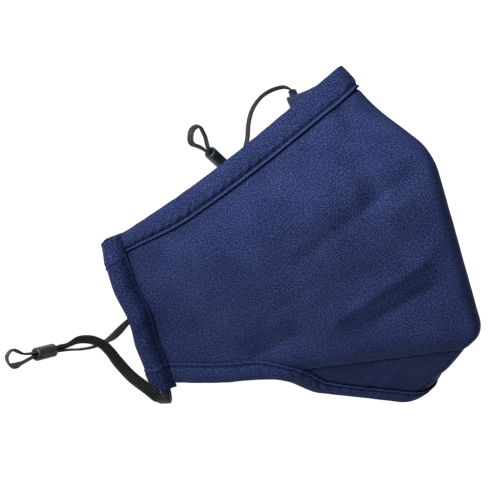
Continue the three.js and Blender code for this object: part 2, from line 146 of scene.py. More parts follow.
def smooth_route(points: Array, spacing: float, closed: bool = False) -> Array:
    """A smooth curve through points, cut into even steps.

    Between two neighbours it is the cubic whose end slopes are those of the parabola through each point and
    its two neighbours, with the square root of the chords as the running value (a centripetal spline).

    Args:
        points: (n, k) points.
        spacing: distance between the points that come back.
        closed: joins the last point to the first.

    Returns:
        (m, k) points.
    """
    pts = np.vstack([points[-1:], points, points[:2]]) if closed else np.vstack(
        [2 * points[:1] - points[1:2], points, 2 * points[-1:] - points[-2:-1]])
    knots = np.concatenate([[0.0], np.cumsum(np.sqrt(np.linalg.norm(np.diff(pts, axis=0), axis=1)))])
    before, after = np.diff(knots)[:-1, None], np.diff(knots)[1:, None]
    steps = np.diff(pts, axis=0)
    slopes = (steps[:-1] / before * after + steps[1:] / after * before) / (before + after)
    span = np.diff(knots[1:-1])[:, None, None]
    t = np.linspace(0.0, 1.0, POINTS_PER_SPAN, endpoint=False)[None, :, None]
    p0, p1 = pts[1:-2, None, :], pts[2:-1, None, :]
    m0, m1 = slopes[:-1, None, :] * span, slopes[1:, None, :] * span
    fine = ((2 * t**3 - 3 * t**2 + 1) * p0 + (t**3 - 2 * t**2 + t) * m0
            + (3 * t**2 - 2 * t**3) * p1 + (t**3 - t**2) * m1).reshape(-1, points.shape[1])
    fine = np.vstack([fine, pts[-2:-1]])
    run = run_along(fine)
    even = np.linspace(0.0, run[-1], max(int(round(run[-1] / spacing)), 2) + 1)
    even = even[:-1] if closed else even
    return np.stack([np.interp(even, run, fine[:, k]) for k in range(points.shape[1])], axis=1)


# Form of the cloth


@dataclass(frozen=True)
class SoftFold:
    """A soft fold or hollow in a cheek: its ends as shares from ear to front and from nose to chin."""

    from_ear: float
    from_nose: float
    to_ear: float
    to_nose: float
    width: float
    depth: float


@dataclass(frozen=True)
class MaskForm:
    """The surfaces of the cloth, from the same sizes and formulas as the CAD model.

    across runs from -1 at the left ear edge over 0 at the folded front to 1 at the right ear edge. down
    runs from 0 at the nose edge to 1 at the crease, and on the chin cloth from the crease to its free
    edge. A pair of numbers that an ease takes is where it starts and where it ends.
    """

    ear_span: float = 130.0
    ear_edge: float = 69.0
    front_height: float = 126.5
    front_length: float = 84.0
    front_rise: float = 1.6
    nose_setback: float = 17.6
    nose_length: float = 50.0
    nose_slope: float = math.radians(45.9)
    nose_hollow: float = 3.4
    nose_hollow_at: float = 0.4
    ear_splay: float = 6.0
    splay_turn: float = math.radians(75.0)
    splay_at_nose: float = 0.75
    splay_rise: float = 0.15
    chin_length: float = 54.6
    chin_slope: float = math.radians(49.6)
    chin_turn_under: float = 11.2
    roundings: tuple[float, float, float] = (6.0, 9.0, 6.0)
    ridge_radius: float = 4.0
    chin_radius: float = 12.0
    cheek_fullness: float = 5.0
    chin_fullness: float = 2.0
    fullness_at_ends: float = 0.55
    nose_edge_dip: float = 1.8
    nose_dip_waves: float = 0.64
    lower_edge_sag: float = 3.1
    sag_middle: float = 0.22
    sag_reach: float = 0.2
    wall: float = 1.5
    seam_gap: float = 0.3
    hem_width: float = 10.4
    nose_hem_shares: tuple[float, float] = (0.74, 1.06)
    nose_hem_grows: tuple[float, float] = (0.03, 0.3)
    inset: float = 1.7
    crease_step: float = 0.8
    crease_lead: float = 0.5
    crease_turn: float = 4.0
    casing_width: float = 7.8
    casing_thickness: float = 4.2
    casing_gap: float = 0.35
    lift: float = 2.1
    lift_reach: float = 15.0
    fold_width: float = 8.0
    fold_depth: float = 1.3
    fold_fade_ear: tuple[float, float] = (0.06, 0.2)
    fold_fade_front: tuple[float, float] = (0.02, 0.12)
    turn_start: float = 0.25
    turn_reach: float = 0.35
    chin_start: float = 0.43
    fold_share: float = 0.06
    folds: tuple[SoftFold, ...] = (
        SoftFold(0.95, 0.36, 0.53, 0.50, 1.0, -1.0),
        SoftFold(0.83, 0.22, 0.78, 0.37, 0.8, -0.8),
        SoftFold(0.90, 0.10, 0.87, 0.20, 0.5, -0.9),
        SoftFold(0.78, 0.16, 0.74, 0.36, 0.6, 0.6),
        SoftFold(0.87, 0.46, 0.74, 0.44, 0.6, 0.6),
        SoftFold(0.90, 0.62, 0.60, 0.77, 0.8, 0.8),
        SoftFold(0.88, 0.74, 0.68, 0.82, 0.7, -0.8),
        SoftFold(0.46, 0.80, 0.30, 0.88, 0.9, -0.7),
        SoftFold(0.20, 0.16, 0.62, 0.14, 0.9, -0.6),
    )
    wrinkles: tuple[SoftFold, ...] = (
        SoftFold(0.955, 0.36, 0.53, 0.50, 0.34, -0.40),
        SoftFold(0.83, 0.255, 0.785, 0.39, 0.40, -0.45),
        SoftFold(0.89, 0.10, 0.88, 0.16, 0.24, -0.70),
        SoftFold(0.78, 0.165, 0.75, 0.35, 0.24, 0.38),
        SoftFold(0.84, 0.40, 0.77, 0.435, 0.22, 0.36),
        SoftFold(0.785, 0.445, 0.87, 0.65, 0.26, 0.40),
        SoftFold(0.87, 0.65, 0.59, 0.775, 0.28, 0.46),
        SoftFold(0.86, 0.745, 0.70, 0.81, 0.28, -0.44),
        SoftFold(0.46, 0.815, 0.32, 0.875, 0.30, -0.36),
        SoftFold(0.30, 0.20, 0.42, 0.55, 0.45, -0.24),
        SoftFold(0.60, 0.22, 0.66, 0.48, 0.36, 0.26),
        SoftFold(0.55, 0.62, 0.40, 0.70, 0.34, -0.26),
    )

    @property
    def foot_half_span(self) -> float:
        """Half the distance between the cheeks' feet: the casings stand outside them."""
        slope = math.atan2(self.front_height, self.ear_span / 2)
        return self.ear_span / 2 - (self.casing_thickness + self.seam_gap) / math.sin(slope)

    @property
    def flank(self) -> float:
        """Length of a row of the cheek from the ear edge to the front, mm."""
        return math.hypot(self.front_height, self.foot_half_span)

    def front_points(self) -> tuple[Array, Array, Array]:
        """The folded front seen from the side: straight runs, and parabolas that round their corners.

        A parabola touches both runs at the rounding distance from the corner.

        Returns:
            The dense line (n, 2), the distance along it (n,) and the chin's free end (2,).
        """
        def along(angle: float, length: float) -> Array:
            return np.array([math.cos(angle), math.sin(angle)]) * length

        nose = np.array([-self.nose_setback, self.front_height])
        nose_end = nose - along(self.nose_slope, self.nose_length)
        chin = nose + np.array([self.front_length, self.front_rise])
        turn_end = chin + along(-self.chin_slope, self.chin_turn_under)
        hollow = mix(nose_end, nose, self.nose_hollow_at)
        hollow = hollow + along(self.nose_slope - math.pi / 2, self.nose_hollow)
        points = [nose_end, hollow, nose, chin, turn_end]
        pieces, last = [], points[0]
        t = np.linspace(0.0, 1.0, 60)[:, None]
        for index, rounding in enumerate(self.roundings):
            corner, following = points[index + 1], points[index + 2]
            before = mix(corner, points[index], rounding / np.linalg.norm(corner - points[index]))
            after = mix(corner, following, rounding / np.linalg.norm(corner - following))
            pieces.append(mix(last, before, t[:-1]))
            pieces.append(((1 - t) ** 2 * before + 2 * t * (1 - t) * corner + t**2 * after)[:-1])
            last = after
        pieces.append(mix(last, points[-1], t))
        line = np.vstack(pieces)
        return line, run_along(line), chin + along(-self.chin_slope, self.chin_length)

    @property
    def front_run(self) -> float:
        """Length of the folded front from the nose edge to where the chin cloth starts, mm."""
        return float(self.front_points()[1][-1])

    def foot_span(self, row: Array) -> Array:
        """Half span of the cheeks' feet: they splay with a cosine, most just below the nose corner."""
        splay = np.cos(np.clip(row, 0.0, 1.0) * self.splay_turn)
        rise = mix(self.splay_at_nose, 1.0, ease(row, 0.0, self.splay_rise))
        return self.foot_half_span + self.ear_splay * splay * rise

    def front_at(self, row: Array) -> Array:
        """Points (y, z) of the folded front at shares of its length, carried straight on past the nose."""
        line, run, _ = self.front_points()
        at = np.clip(row, 0.0, 1.0) * run[-1]
        point = np.stack([np.interp(at, run, line[:, k]) for k in (0, 1)], axis=-1)
        return point + unit(line[1] - line[0]) * (np.minimum(row, 0.0) * run[-1])[..., None]

    def panel_depth(self, share: Array) -> Array:
        """Length of the cloth from nose edge to crease at a share of the way from ear edge to front."""
        return mix(self.ear_edge, self.front_run, np.clip(share, 0.0, 1.0))

    def ear_lift(self, side: Array, length: Array) -> Array:
        """How far the right ear edge lifts where the elastic runs under it: half a cosine squared."""
        away = np.abs(length - self.ear_edge / 2) / self.lift_reach
        lift = self.lift * np.cos(np.minimum(away, 1) * np.pi / 2) ** 2
        return np.where((side > 0) & (away < 1), lift, 0.0)

    def tent_row(self, foot: Array, crown: Array, radius: float, round_share: float,
                 share: Array) -> tuple[Array, Array]:
        """A row from a foot up to the crown: a straight line that touches a circle, then the circle's arc.

        Args:
            foot: (..., 3) lowest points.
            crown: (..., 2) highest points as (y, z).
            radius: the circle's radius, mm.
            round_share: share of the row that lies on the arc.
            share: 0 at the foot, 1 at the crown.

        Returns:
            Points and outward directions, each (..., 3).
        """
        fall = foot[..., 1:] - crown
        length = np.linalg.norm(fall, axis=-1)
        fall = fall / length[..., None]
        drop = length - radius
        centre = crown + fall * radius
        touch = np.arctan2(-drop, foot[..., 0]) + np.arccos(radius / np.hypot(foot[..., 0], drop))
        straight = np.minimum(share / (1 - round_share), 1.0)
        turn = mix(touch, np.pi / 2, np.clip((share - 1 + round_share) / round_share, 0.0, 1.0))
        on_arc = share > 1 - round_share
        x = np.where(on_arc, radius * np.cos(turn), mix(foot[..., 0], radius * np.cos(touch), straight))
        up = np.where(on_arc, radius * np.sin(turn), mix(-drop, radius * np.sin(touch), straight))
        point = np.concatenate([x[..., None], centre - fall * up[..., None]], axis=-1)
        outward = np.concatenate([np.cos(turn)[..., None], -fall * np.sin(turn)[..., None]], axis=-1)
        return point, outward

    def fold_height(self, share: Array, down: Array) -> Array:
        """Sum of the soft folds: each is a bell of the distance to its line, and fades at ear and front."""
        depth = self.panel_depth(share)
        place = np.stack([share * self.flank, (down - 0.5) * depth], axis=-1)
        height = np.zeros(np.broadcast(share, down).shape)
        for fold in (*self.folds, *self.wrinkles):
            start, end = (np.array([ear * self.flank, (nose - 0.5) * float(self.panel_depth(ear))])
                          for ear, nose in ((fold.from_ear, fold.from_nose), (fold.to_ear, fold.to_nose)))
            run = end - start
            part = np.clip(((place - start) @ run) / (run @ run), 0.0, 1.0)
            away = np.linalg.norm(place - start - part[..., None] * run, axis=-1)
            height += fold.depth * self.fold_depth * bump(away, 0.0, fold.width * self.fold_width)
        return height * ease(share, *self.fold_fade_ear) * ease(1 - share, *self.fold_fade_front)

    def cheek(self, across: Array, down: Array) -> Array:
        """Outer face of the cheeks: a tent row pushed out by the cheek's fullness and its soft folds."""
        across, down = paired(across, down)
        side = side_of(across)
        share = 1 - np.abs(across)
        inside = np.clip(share, 0.0, 1.0)
        bow = 4 * inside * (1 - inside)
        dip = self.nose_edge_dip * np.sin(2 * np.pi * self.nose_dip_waves * inside)
        row = down + (dip / self.panel_depth(share)) * (1 - down)
        edge = row * self.ear_edge
        foot = np.stack([self.foot_span(row), edge, self.ear_lift(side, edge)], axis=-1)
        at = np.clip(row, 0.0, 1.0)
        point, outward = self.tent_row(foot, self.front_at(row), self.ridge_radius, self.fold_share, share)
        full = self.cheek_fullness * bow * bow * mix(self.fullness_at_ends, 1.0, np.sin(np.pi * at))
        point = point + outward * (full + self.fold_height(share, at))[..., None]
        point[..., 1] += self.lower_edge_sag * at**2 * bump(share, self.sag_middle, self.sag_reach)
        point[..., 0] *= side
        return point

    @staticmethod
    def outward(face: Callable[[Array, Array], Array], across: Array, down: Array) -> Array:
        """Outward direction of a face, from its slope in both directions over a short step."""
        step = 0.004
        across, down = paired(across, down)
        along_across = face(across + step, down) - face(across - step, down)
        along_down = face(across, np.minimum(down + step, 1.0)) - face(across, np.maximum(down - step, 0.0))
        return -unit(np.cross(along_down, along_across))

    def crease(self, across: Array) -> Array:
        """The fold line between the cheeks and the chin cloth."""
        return self.cheek(across, np.ones_like(across))

    def chin_edge(self, across: Array) -> Array:
        """The free edge of the chin: the crease at the ears, easing into a row that turns under."""
        share = 1 - np.abs(across)
        side = side_of(across)
        rest = 1 - self.turn_start
        foot = np.broadcast_to(self.crease(np.array([rest]))[0], across.shape + (3,))
        crown = np.broadcast_to(self.front_points()[2], across.shape + (2,))
        row = np.maximum((share - self.turn_start) / rest, 0.0)
        point, _ = self.tent_row(foot, crown, self.chin_radius, self.fold_share / rest, row)
        point[..., 0] *= side
        turned = ease(share, self.turn_start, self.turn_start + self.turn_reach)
        return mix(self.crease(across), point, turned[..., None])

    def chin_depth(self, across: Array) -> Array:
        """Width of the chin cloth from the crease to its free edge, mm."""
        return np.linalg.norm(self.crease(across) - self.chin_edge(across), axis=-1)

    def chin(self, across: Array, down: Array) -> Array:
        """Outer face of the chin cloth: straight from crease to free edge, with a slight fullness."""
        across, down = paired(across, down)
        point = mix(self.crease(across), self.chin_edge(across), down[..., None])
        wide = ease(self.chin_depth(across), self.hem_width, 3 * self.hem_width)
        point[..., 1] += self.chin_fullness * 4 * down * (1 - down) * wide
        return point

    def chin_outward(self, across: Array, down: Array) -> Array:
        """Outward direction on the chin cloth, turning from the cheek's at the crease to its own.

        Its own is taken away from both edges, where a slope over a short step would be one-sided.
        """
        across, down = paired(across, down)
        depth = self.chin_depth(across)
        cheek = self.outward(self.cheek, across, np.ones_like(down))
        reached = side_of(across) * np.minimum(np.abs(across), 1 - self.chin_start)
        own = self.outward(self.chin, reached, np.clip(down, 0.1, 0.9))
        turned = ease(down * depth, 0.0, self.crease_turn) * ease(depth, 0.0, self.hem_width)
        return unit(mix(cheek, own, turned[..., None]))

    def upper_place(self, across: Array, distance: Array) -> tuple[Array, Array]:
        """Points and outward directions at a distance from the nose edge."""
        across, distance = np.broadcast_arrays(across, distance)
        down = distance / self.panel_depth(1 - np.abs(across))
        return self.cheek(across, down), self.outward(self.cheek, across, down)

    def lower_place(self, across: Array, distance: Array) -> tuple[Array, Array]:
        """Points and outward directions at a distance from the lower edge: chin cloth first, then cheek."""
        across, distance = np.broadcast_arrays(across, distance)
        depth = self.chin_depth(across)
        on_chin = (distance <= depth)[..., None]
        chin_down = np.clip(1 - distance / np.maximum(depth, 1e-6), 0.0, 1.0)
        down = np.clip(1 - (distance - depth) / self.panel_depth(1 - np.abs(across)), 0.0, 1.0)
        point = np.where(on_chin, self.chin(across, chin_down), self.cheek(across, down))
        cheek_out = self.outward(self.cheek, across, down)
        return point, np.where(on_chin, self.chin_outward(across, chin_down), cheek_out)

    def hem_reach(self, edge: Edge, across: Array) -> Array:
        """Width of a hem: even along the chin, and along the nose narrower at the ears."""
        share = 1 - np.abs(across)
        if edge is Edge.CHIN:
            return np.full_like(share, self.hem_width)
        return self.hem_width * mix(*self.nose_hem_shares, ease(share, *self.nose_hem_grows))

    def place(self, edge: Edge, across: Array, distance: Array) -> tuple[Array, Array]:
        """Points and outward directions at a distance from one of the hemmed edges."""
        on_edge = self.upper_place if edge is Edge.NOSE else self.lower_place
        return on_edge(across, distance)


FORM = MaskForm()

# From the mask's own axes, where the ear edge starts at y = 0, to the frame's, whose origin is the middle
# of the cloth's footprint, mm
FRAME_SHIFT = np.array([0.0, -24.3589, 0.0])


# Meshes


@dataclass
class Surface:
    """Vertices in the mask's own millimetres, faces, and what the materials read at each vertex."""

    points: Array
    faces: list[tuple[int, ...]]
    uv: Array
    values: dict[str, Array] = field(default_factory=dict)

    def build(self, name: str, material: Finish) -> Piece:
        """Makes the object at the origin, with faces that point out.

        Args:
            name: the piece's name.
            material: its finish.

        Returns:
            The new object, in the scene.
        """
        placed = (self.points + FRAME_SHIFT) * MM
        first, second, third, last = (placed[[face[k] for face in self.faces]] for k in (0, 1, 2, -1))
        volume = np.sum(first * (np.cross(second, third) + np.cross(third, last)))
        mesh = bpy.data.meshes.new(name)
        faces = self.faces if volume > 0 else [face[::-1] for face in self.faces]
        mesh.from_pydata(placed.tolist(), [], faces)
        corners = np.empty(len(mesh.loops), dtype=np.int32)
        mesh.loops.foreach_get("vertex_index", corners)
        layer = mesh.uv_layers.new(name=CLOTH_UV)
        layer.data.foreach_set("uv", self.uv[corners].astype(np.float32).ravel())
        for label, value in self.values.items():
            stored = mesh.attributes.new(label, "FLOAT", "POINT")
            stored.data.foreach_set("value", np.asarray(value, np.float32).ravel())
        mesh.polygons.foreach_set("use_smooth", np.ones(len(mesh.polygons), dtype=bool))
        mesh.materials.append(material)
        mesh.validate(clean_customdata=False)
        mesh.update()
        piece = bpy.data.objects.new(name, mesh)
        bpy.context.scene.collection.objects.link(piece)
        LOG.info("%s: %d faces", name, len(mesh.polygons))
        return piece


def declare(piece: Piece, node: str | None = None) -> Piece:
    """Attaches a piece to the root body and, where it stands for a node, hides that node's CAD part."""
    if node:
        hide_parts(node)
    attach(piece, ROOT)
    return piece


def as_faces(indices: Array) -> list[tuple[int, ...]]:
    """Rows of vertex numbers as faces."""
    return [tuple(row) for row in indices.tolist()]


def ring_quads(rings: int, count: int, first: int = 0) -> Array:
    """Quads between rings of count points each, laid one after another from index first."""
    ring = np.arange(rings - 1)[:, None] * count + first
    k = np.arange(count)[None, :]
    after = (k + 1) % count
    quads = np.stack([ring + k, ring + after, ring + count + after, ring + count + k], axis=-1)
    return quads.reshape(-1, 4)


def capped_rings(rings: int, count: int) -> list[tuple[int, ...]]:
    """The quads between rings, and one flat face on each end."""
    caps = [tuple(range(count - 1, -1, -1)), tuple(range((rings - 1) * count, rings * count))]
    return as_faces(ring_quads(rings, count)) + caps


def solid_strip(rings: Array, uv: Array, values: dict[str, Array]) -> Surface:
    """A closed body from (n, m, 3) rings, with one flat face on each end."""
    return Surface(rings.reshape(-1, 3), capped_rings(*rings.shape[:2]), uv.reshape(-1, 2),
                   {key: value.reshape(-1) for key, value in values.items()})


def hollow_strip(outer: Array, inner: Array, uv: Array, values: dict[str, Array]) -> Surface:
    """A closed tube with a wall: (n, m, 3) outer and inner rings joined by quads at both ends."""
    count, size = outer.shape[:2]
    half, end = count * size, (count - 1) * size
    k = np.arange(size)
    after = (k + 1) % size
    near = np.stack([after, k, k + half, after + half], axis=1)
    far = np.stack([k + end, after + end, after + end + half, k + end + half], axis=1)
    quads = np.vstack([ring_quads(count, size), ring_quads(count, size, half)[:, ::-1], near, far])
    points = np.vstack([outer.reshape(-1, 3), inner.reshape(-1, 3)])
    return Surface(points, as_faces(quads), np.vstack([uv.reshape(-1, 2)] * 2),
                   {key: np.concatenate([value.reshape(-1)] * 2) for key, value in values.items()})


# Finishes


def linear(hex_color: str) -> tuple[float, float, float, float]:
    """The linear colour of an sRGB hex value: c / 12.92 below 0.04045, else ((c + 0.055) / 1.055) ^ 2.4."""
    values = [int(hex_color[i:i + 2], 16) / 255 for i in (1, 3, 5)]
    red, green, blue = (v / 12.92 if v <= 0.04045 else ((v + 0.055) / 1.055) ** 2.4 for v in values)
    return (red, green, blue, 1.0)


@dataclass
class NodeSheet:
    """A new material's node tree: one way to add a node, and short forms of what the finishes share."""

    name: str

    def __post_init__(self) -> None:
        """Makes the material and empties its tree."""
        self.material = bpy.data.materials.new(self.name)
        self.material.use_nodes = True
        self.material.node_tree.nodes.clear()

    def add(self, kind: str, settings: dict[str, object] | None = None,
            inputs: dict[str | int, object] | None = None) -> bpy.types.Node:
        """Adds a node.

        Args:
            kind: the node's type name, without the word that all of them start with.
            settings: properties of the node by name.
            inputs: a value or an output socket for each input, by name or number.

        Returns:
            The new node.
        """
        tree = self.material.node_tree
        node = tree.nodes.new("ShaderNode" + kind)
        for key, value in (settings or {}).items():
            setattr(node, key, value)
        for key, value in (inputs or {}).items():
            if isinstance(value, Socket):
                tree.links.new(value, node.inputs[key])
            else:
                node.inputs[key].default_value = value
        return node

    def object_coords(self) -> Socket:
        """Coordinates in the object's own metres."""
        return self.add("TexCoord").outputs["Object"]

    def cloth_coords(self) -> Socket:
        """Coordinates along the cloth or the band, mm."""
        return self.add("UVMap", {"uv_map": CLOTH_UV}).outputs["UV"]

    def attribute(self, label: str) -> Socket:
        """A value stored at the vertices."""
        return self.add("Attribute", {"attribute_name": label}).outputs["Fac"]

    def noise(self, coords: Socket, scale: float, detail: float,
              roughness: float = 0.5) -> Socket:
        """Cloudy noise."""
        return self.add("TexNoise", {}, {"Vector": coords, "Scale": scale, "Detail": detail,
                                         "Roughness": roughness}).outputs["Fac"]

    def bands(self, coords: Socket, direction: str, pitch: float,
              uneven: tuple[float, float, float] | None = None) -> Socket:
        """Sine bands a pitch apart, bent by noise where uneven gives its amount, detail and scale."""
        inputs = {"Vector": coords, "Scale": 2 * math.pi / (20 * pitch)}
        if uneven:
            inputs |= dict(zip(("Distortion", "Detail", "Detail Scale"), uneven))
        settings = {"wave_type": "BANDS", "bands_direction": direction}
        return self.add("TexWave", settings, inputs).outputs["Fac"]

    def scaled(self, value: Socket, by: object, plus: object = 0.0, clamp: bool = False) -> Socket:
        """A value times another one, plus a third one."""
        settings = {"operation": "MULTIPLY_ADD", "use_clamp": clamp}
        return self.add("Math", settings, {0: value, 1: by, 2: plus}).outputs[0]

    def ramp(self, factor: Socket, *stops: tuple[float, str]) -> Socket:
        """A colour that runs through stops, each a position and an sRGB hex value."""
        node = self.add("ValToRGB", {}, {"Fac": factor})
        elements = node.color_ramp.elements
        for element, (position, color) in zip(elements, (stops[0], stops[-1])):
            element.position, element.color = position, linear(color)
        for position, color in stops[1:-1]:
            elements.new(position).color = linear(color)
        return node.outputs["Color"]

    def tinted(self, factor: Socket, color: Socket, other: str) -> Socket:
        """A colour that turns into another one with the factor."""
        inputs = {"Factor": factor, 6: color, 7: linear(other)}
        return self.add("Mix", {"data_type": "RGBA"}, inputs).outputs[2]

    def relief(self, height: Socket, strength: float, distance: float,
               normal: Socket | None = None) -> Socket:
        """A bump of the height, on top of the given normal if there is one."""
        below = {"Normal": normal} if normal else {}
        return self.add("Bump", {}, {"Strength": strength, "Distance": distance, "Height": height,
                                     **below}).outputs["Normal"]

    def finished(self, color: Socket, roughness: object,
                 inputs: dict[str, object]) -> Finish:
        """Adds the shader and the output, and gives the material."""
        shader = self.add("BsdfPrincipled", {}, {"Base Color": color, "Roughness": roughness, **inputs})
        self.add("OutputMaterial", {}, {"Surface": shader.outputs["BSDF"]})
        return self.material


@dataclass(frozen=True)
class WovenCotton:
    """Piece-dyed plain-weave cotton, matt and slightly fuzzy, so it shows a soft sheen at grazing angles.

    The real threads are about 0.35 mm apart, too fine to show, so the weave is drawn at thread_pitch.
    """

    name: str = "woven_cotton_navy"
    # Darkest weave tone, also the colour of the painted shade
    dark: str = "#091030"
    base: str = "#1f2a54"
    light: str = "#485584"
    # Paler navy for raised folded edges: partly faded cloth, partly a painted highlight
    faded_highlight: str = "#3d4b7a"
    sheen: str = "#8d9cc8"
    thread_pitch: float = 0.62
    roughness: float = 0.88

    def build(self) -> Finish:
        """The material: two crossed thread waves, slub and mottle noise for colour, and their bump."""
        sheet = NodeSheet(self.name)
        coords = sheet.cloth_coords()
        warp, weft = (sheet.bands(coords, direction, self.thread_pitch, (0.35, 1.0, 0.6))
                      for direction in "XY")
        weave = sheet.scaled(warp, weft)
        grain = sheet.noise(coords, 1.75, 2.0, 0.75)
        mottle = sheet.noise(coords, 0.05, 3.0, 0.55)
        speck = sheet.add("MapRange", {"interpolation_type": "SMOOTHSTEP"},
                          {"Value": grain, "From Min": 0.3, "From Max": 0.7}).outputs[0]
        tone = sheet.scaled(mottle, 0.45, -0.33)
        level = sheet.scaled(sheet.scaled(weave, 0.4, speck), 0.95, tone, clamp=True)
        color = sheet.ramp(level, (0.0, self.dark), (0.5, self.base), (1.0, self.light))
        # Raised folded edges turn toward the paler navy: faded edges and a painted highlight
        color = sheet.tinted(sheet.attribute("wear_and_highlight"), color, self.faded_highlight)
        # Creases, grooves and the cloth beside hems turn toward the dark navy: painted shade
        color = sheet.tinted(sheet.attribute("painted_shade"), color, self.dark)
        normal = sheet.relief(grain, 0.6, 0.00022, sheet.relief(weave, 0.55, 0.00012))
        return sheet.finished(color, self.roughness, {
            "IOR": 1.5, "Specular IOR Level": 0.1, "Sheen Weight": 0.05, "Sheen Roughness": 0.5,
            "Sheen Tint": linear(self.sheen), "Normal": normal})


@dataclass(frozen=True)
class SewingThread:
    """Spun polyester sewing thread, twisted, a little glossier than the cloth."""

    name: str = "polyester_thread_navy"
    color: str = "#131b38"
    light: str = "#25315c"
    twist_pitch: float = 0.3

    def build(self) -> Finish:
        """The material: a slanted wave for the twist, in colour and bump."""
        sheet = NodeSheet(self.name)
        twist = sheet.bands(sheet.object_coords(), "DIAGONAL", self.twist_pitch * MM)
        return sheet.finished(sheet.ramp(twist, (0.0, self.color), (1.0, self.light)), 0.7, {
            "IOR": 1.5, "Specular IOR Level": 0.15, "Normal": sheet.relief(twist, 0.5, 0.00005)})


@dataclass(frozen=True)
class BraidedElastic:
    """Flat braided elastic: polyester yarn over rubber, matt charcoal, with ribs along it, their crests
    lightened by a painted highlight and their grooves darkened by painted shade.
    """

    name: str = "braided_elastic_charcoal"
    # Groove colour is painted shade, rib colour a painted highlight
    groove: str = "#020304"
    body: str = "#1b1f23"
    rib: str = "#5c646a"
    pick_pitch: float = 0.75

    def build(self) -> Finish:
        """The material: the rib attribute paints a highlight on the rib crests and shade in the grooves,
        and a fine wave along the band gives the picks.
        """
        sheet = NodeSheet(self.name)
        coords = sheet.cloth_coords()
        picks = sheet.bands(coords, "X", self.pick_pitch, (1.2, 1.0, 2.0))
        tone = sheet.scaled(picks, 0.25, sheet.attribute("rib"), clamp=True)
        level = sheet.scaled(tone, sheet.noise(coords, 1.6, 3.0), clamp=True)
        # Near-black grooves are painted shade, the light grey at the rib crests a painted highlight
        color = sheet.ramp(level, (0.08, self.groove), (0.42, self.body), (0.7, self.rib))
        return sheet.finished(color, 0.62, {
            "IOR": 1.5, "Specular IOR Level": 0.4, "Sheen Weight": 0.15, "Sheen Roughness": 0.4,
            "Normal": sheet.relief(picks, 0.5, 0.00012)})


@dataclass(frozen=True)
class MattSilicone:
    """Moulded silicone rubber: a soft satin skin with a faint dust of lint that dulls it unevenly."""

    name: str = "silicone_moulded_dark_grey"
    color: str = "#262a2c"
    dusty: str = "#33383b"

    def build(self) -> Finish:
        """The material: cloudy noise mixes the two greys and varies the roughness."""
        sheet = NodeSheet(self.name)
        coords = sheet.object_coords()
        cloud = sheet.noise(coords, 350.0, 4.0, 0.6)
        rough = sheet.add("MapRange", {}, {"Value": cloud, "To Min": 0.34, "To Max": 0.5}).outputs[0]
        return sheet.finished(sheet.ramp(cloud, (0.35, self.color), (0.7, self.dusty)), rough, {
            "IOR": 1.43, "Normal": sheet.relief(sheet.noise(coords, 2500.0, 2.0), 0.25, 0.00005)})


@dataclass(frozen=True)
class LightTable:
    """A frosted white acrylic light table, which glows evenly from below and takes only faint shadows."""

    name: str = "frosted_acrylic_white"
    dull: str = "#b8b8b8"
    color: str = "#bcbcbc"
    glow: float = 0.97

    def build(self) -> Finish:
        """The material: a faint mottle on white, and an even glow."""
        sheet = NodeSheet(self.name)
        mottle = sheet.noise(sheet.object_coords(), 60.0, 4.0)
        return sheet.finished(sheet.ramp(mottle, (0.0, self.dull), (1.0, self.color)), 0.9, {
            "Specular IOR Level": 0.1, "Emission Color": linear("#ffffff"),
            "Emission Strength": self.glow})


# Cloth pieces


def cloth_edge_rows(start: Array, end: Array, middle: int) -> tuple[Array, Array]:
    """Rows of a cloth from one edge to the other, close together at the edges so that they can be rounded.

    Args:
        start: (n,) distance where each column starts, mm.
        end: (n,) distance where it ends, mm.
        middle: number of even rows between the two edges.

    Returns:
        Distances (n, m), and half the thickness at each row (m,): a semicircle at both edges.
    """
    near = np.array(EDGE_STEPS)
    even = np.linspace(0.0, 1.0, middle + 2)[1:-1]
    inner = mix((start + near[-1])[:, None], (end - near[-1])[:, None], even[None, :])
    rows = np.concatenate([start[:, None] + near, inner, end[:, None] - near[::-1]], axis=1)
    rounding = np.sqrt(1 - (1 - np.minimum(near / (FORM.wall / 2), 1)) ** 2)
    half = np.concatenate([rounding, np.ones(middle), rounding[::-1]]) * FORM.wall / 2
    return rows, np.maximum(half, THINNEST)


def cloth_columns(limit: float, cheek: int, fold: int) -> Array:
    """Columns from one side to the other: even on the cheeks and finer over the fold."""
    fine = FORM.fold_share * 1.6
    side = np.linspace(limit, fine, cheek)
    return np.concatenate([side, np.linspace(fine, -fine, fold + 2)[1:-1], -side[::-1]])


def closed_cloth(mid: Array, normal: Array, half: Array, uv: Array, values: dict[str, Array]) -> Surface:
    """A closed cloth: outer and inner faces at half the thickness from the middle, joined at the rim."""
    outer, inner = mid + normal * half[..., None], mid - normal * half[..., None]
    rings = np.concatenate([outer, inner[:, ::-1]], axis=1)
    doubled = {key: np.concatenate([value, value[:, ::-1]], axis=1) for key, value in values.items()}
    count, size = rings.shape[:2]
    k = np.arange(size // 2 - 1)
    start = np.stack([k + 1, k, size - 1 - k, size - 2 - k], axis=1)
    end = start[:, [1, 0, 3, 2]] + (count - 1) * size
    faces = as_faces(np.vstack([ring_quads(count, size), start, end]))
    return Surface(rings.reshape(-1, 3), faces, np.concatenate([uv, uv[:, ::-1]], axis=1).reshape(-1, 2),
                   {key: value.reshape(-1) for key, value in doubled.items()})


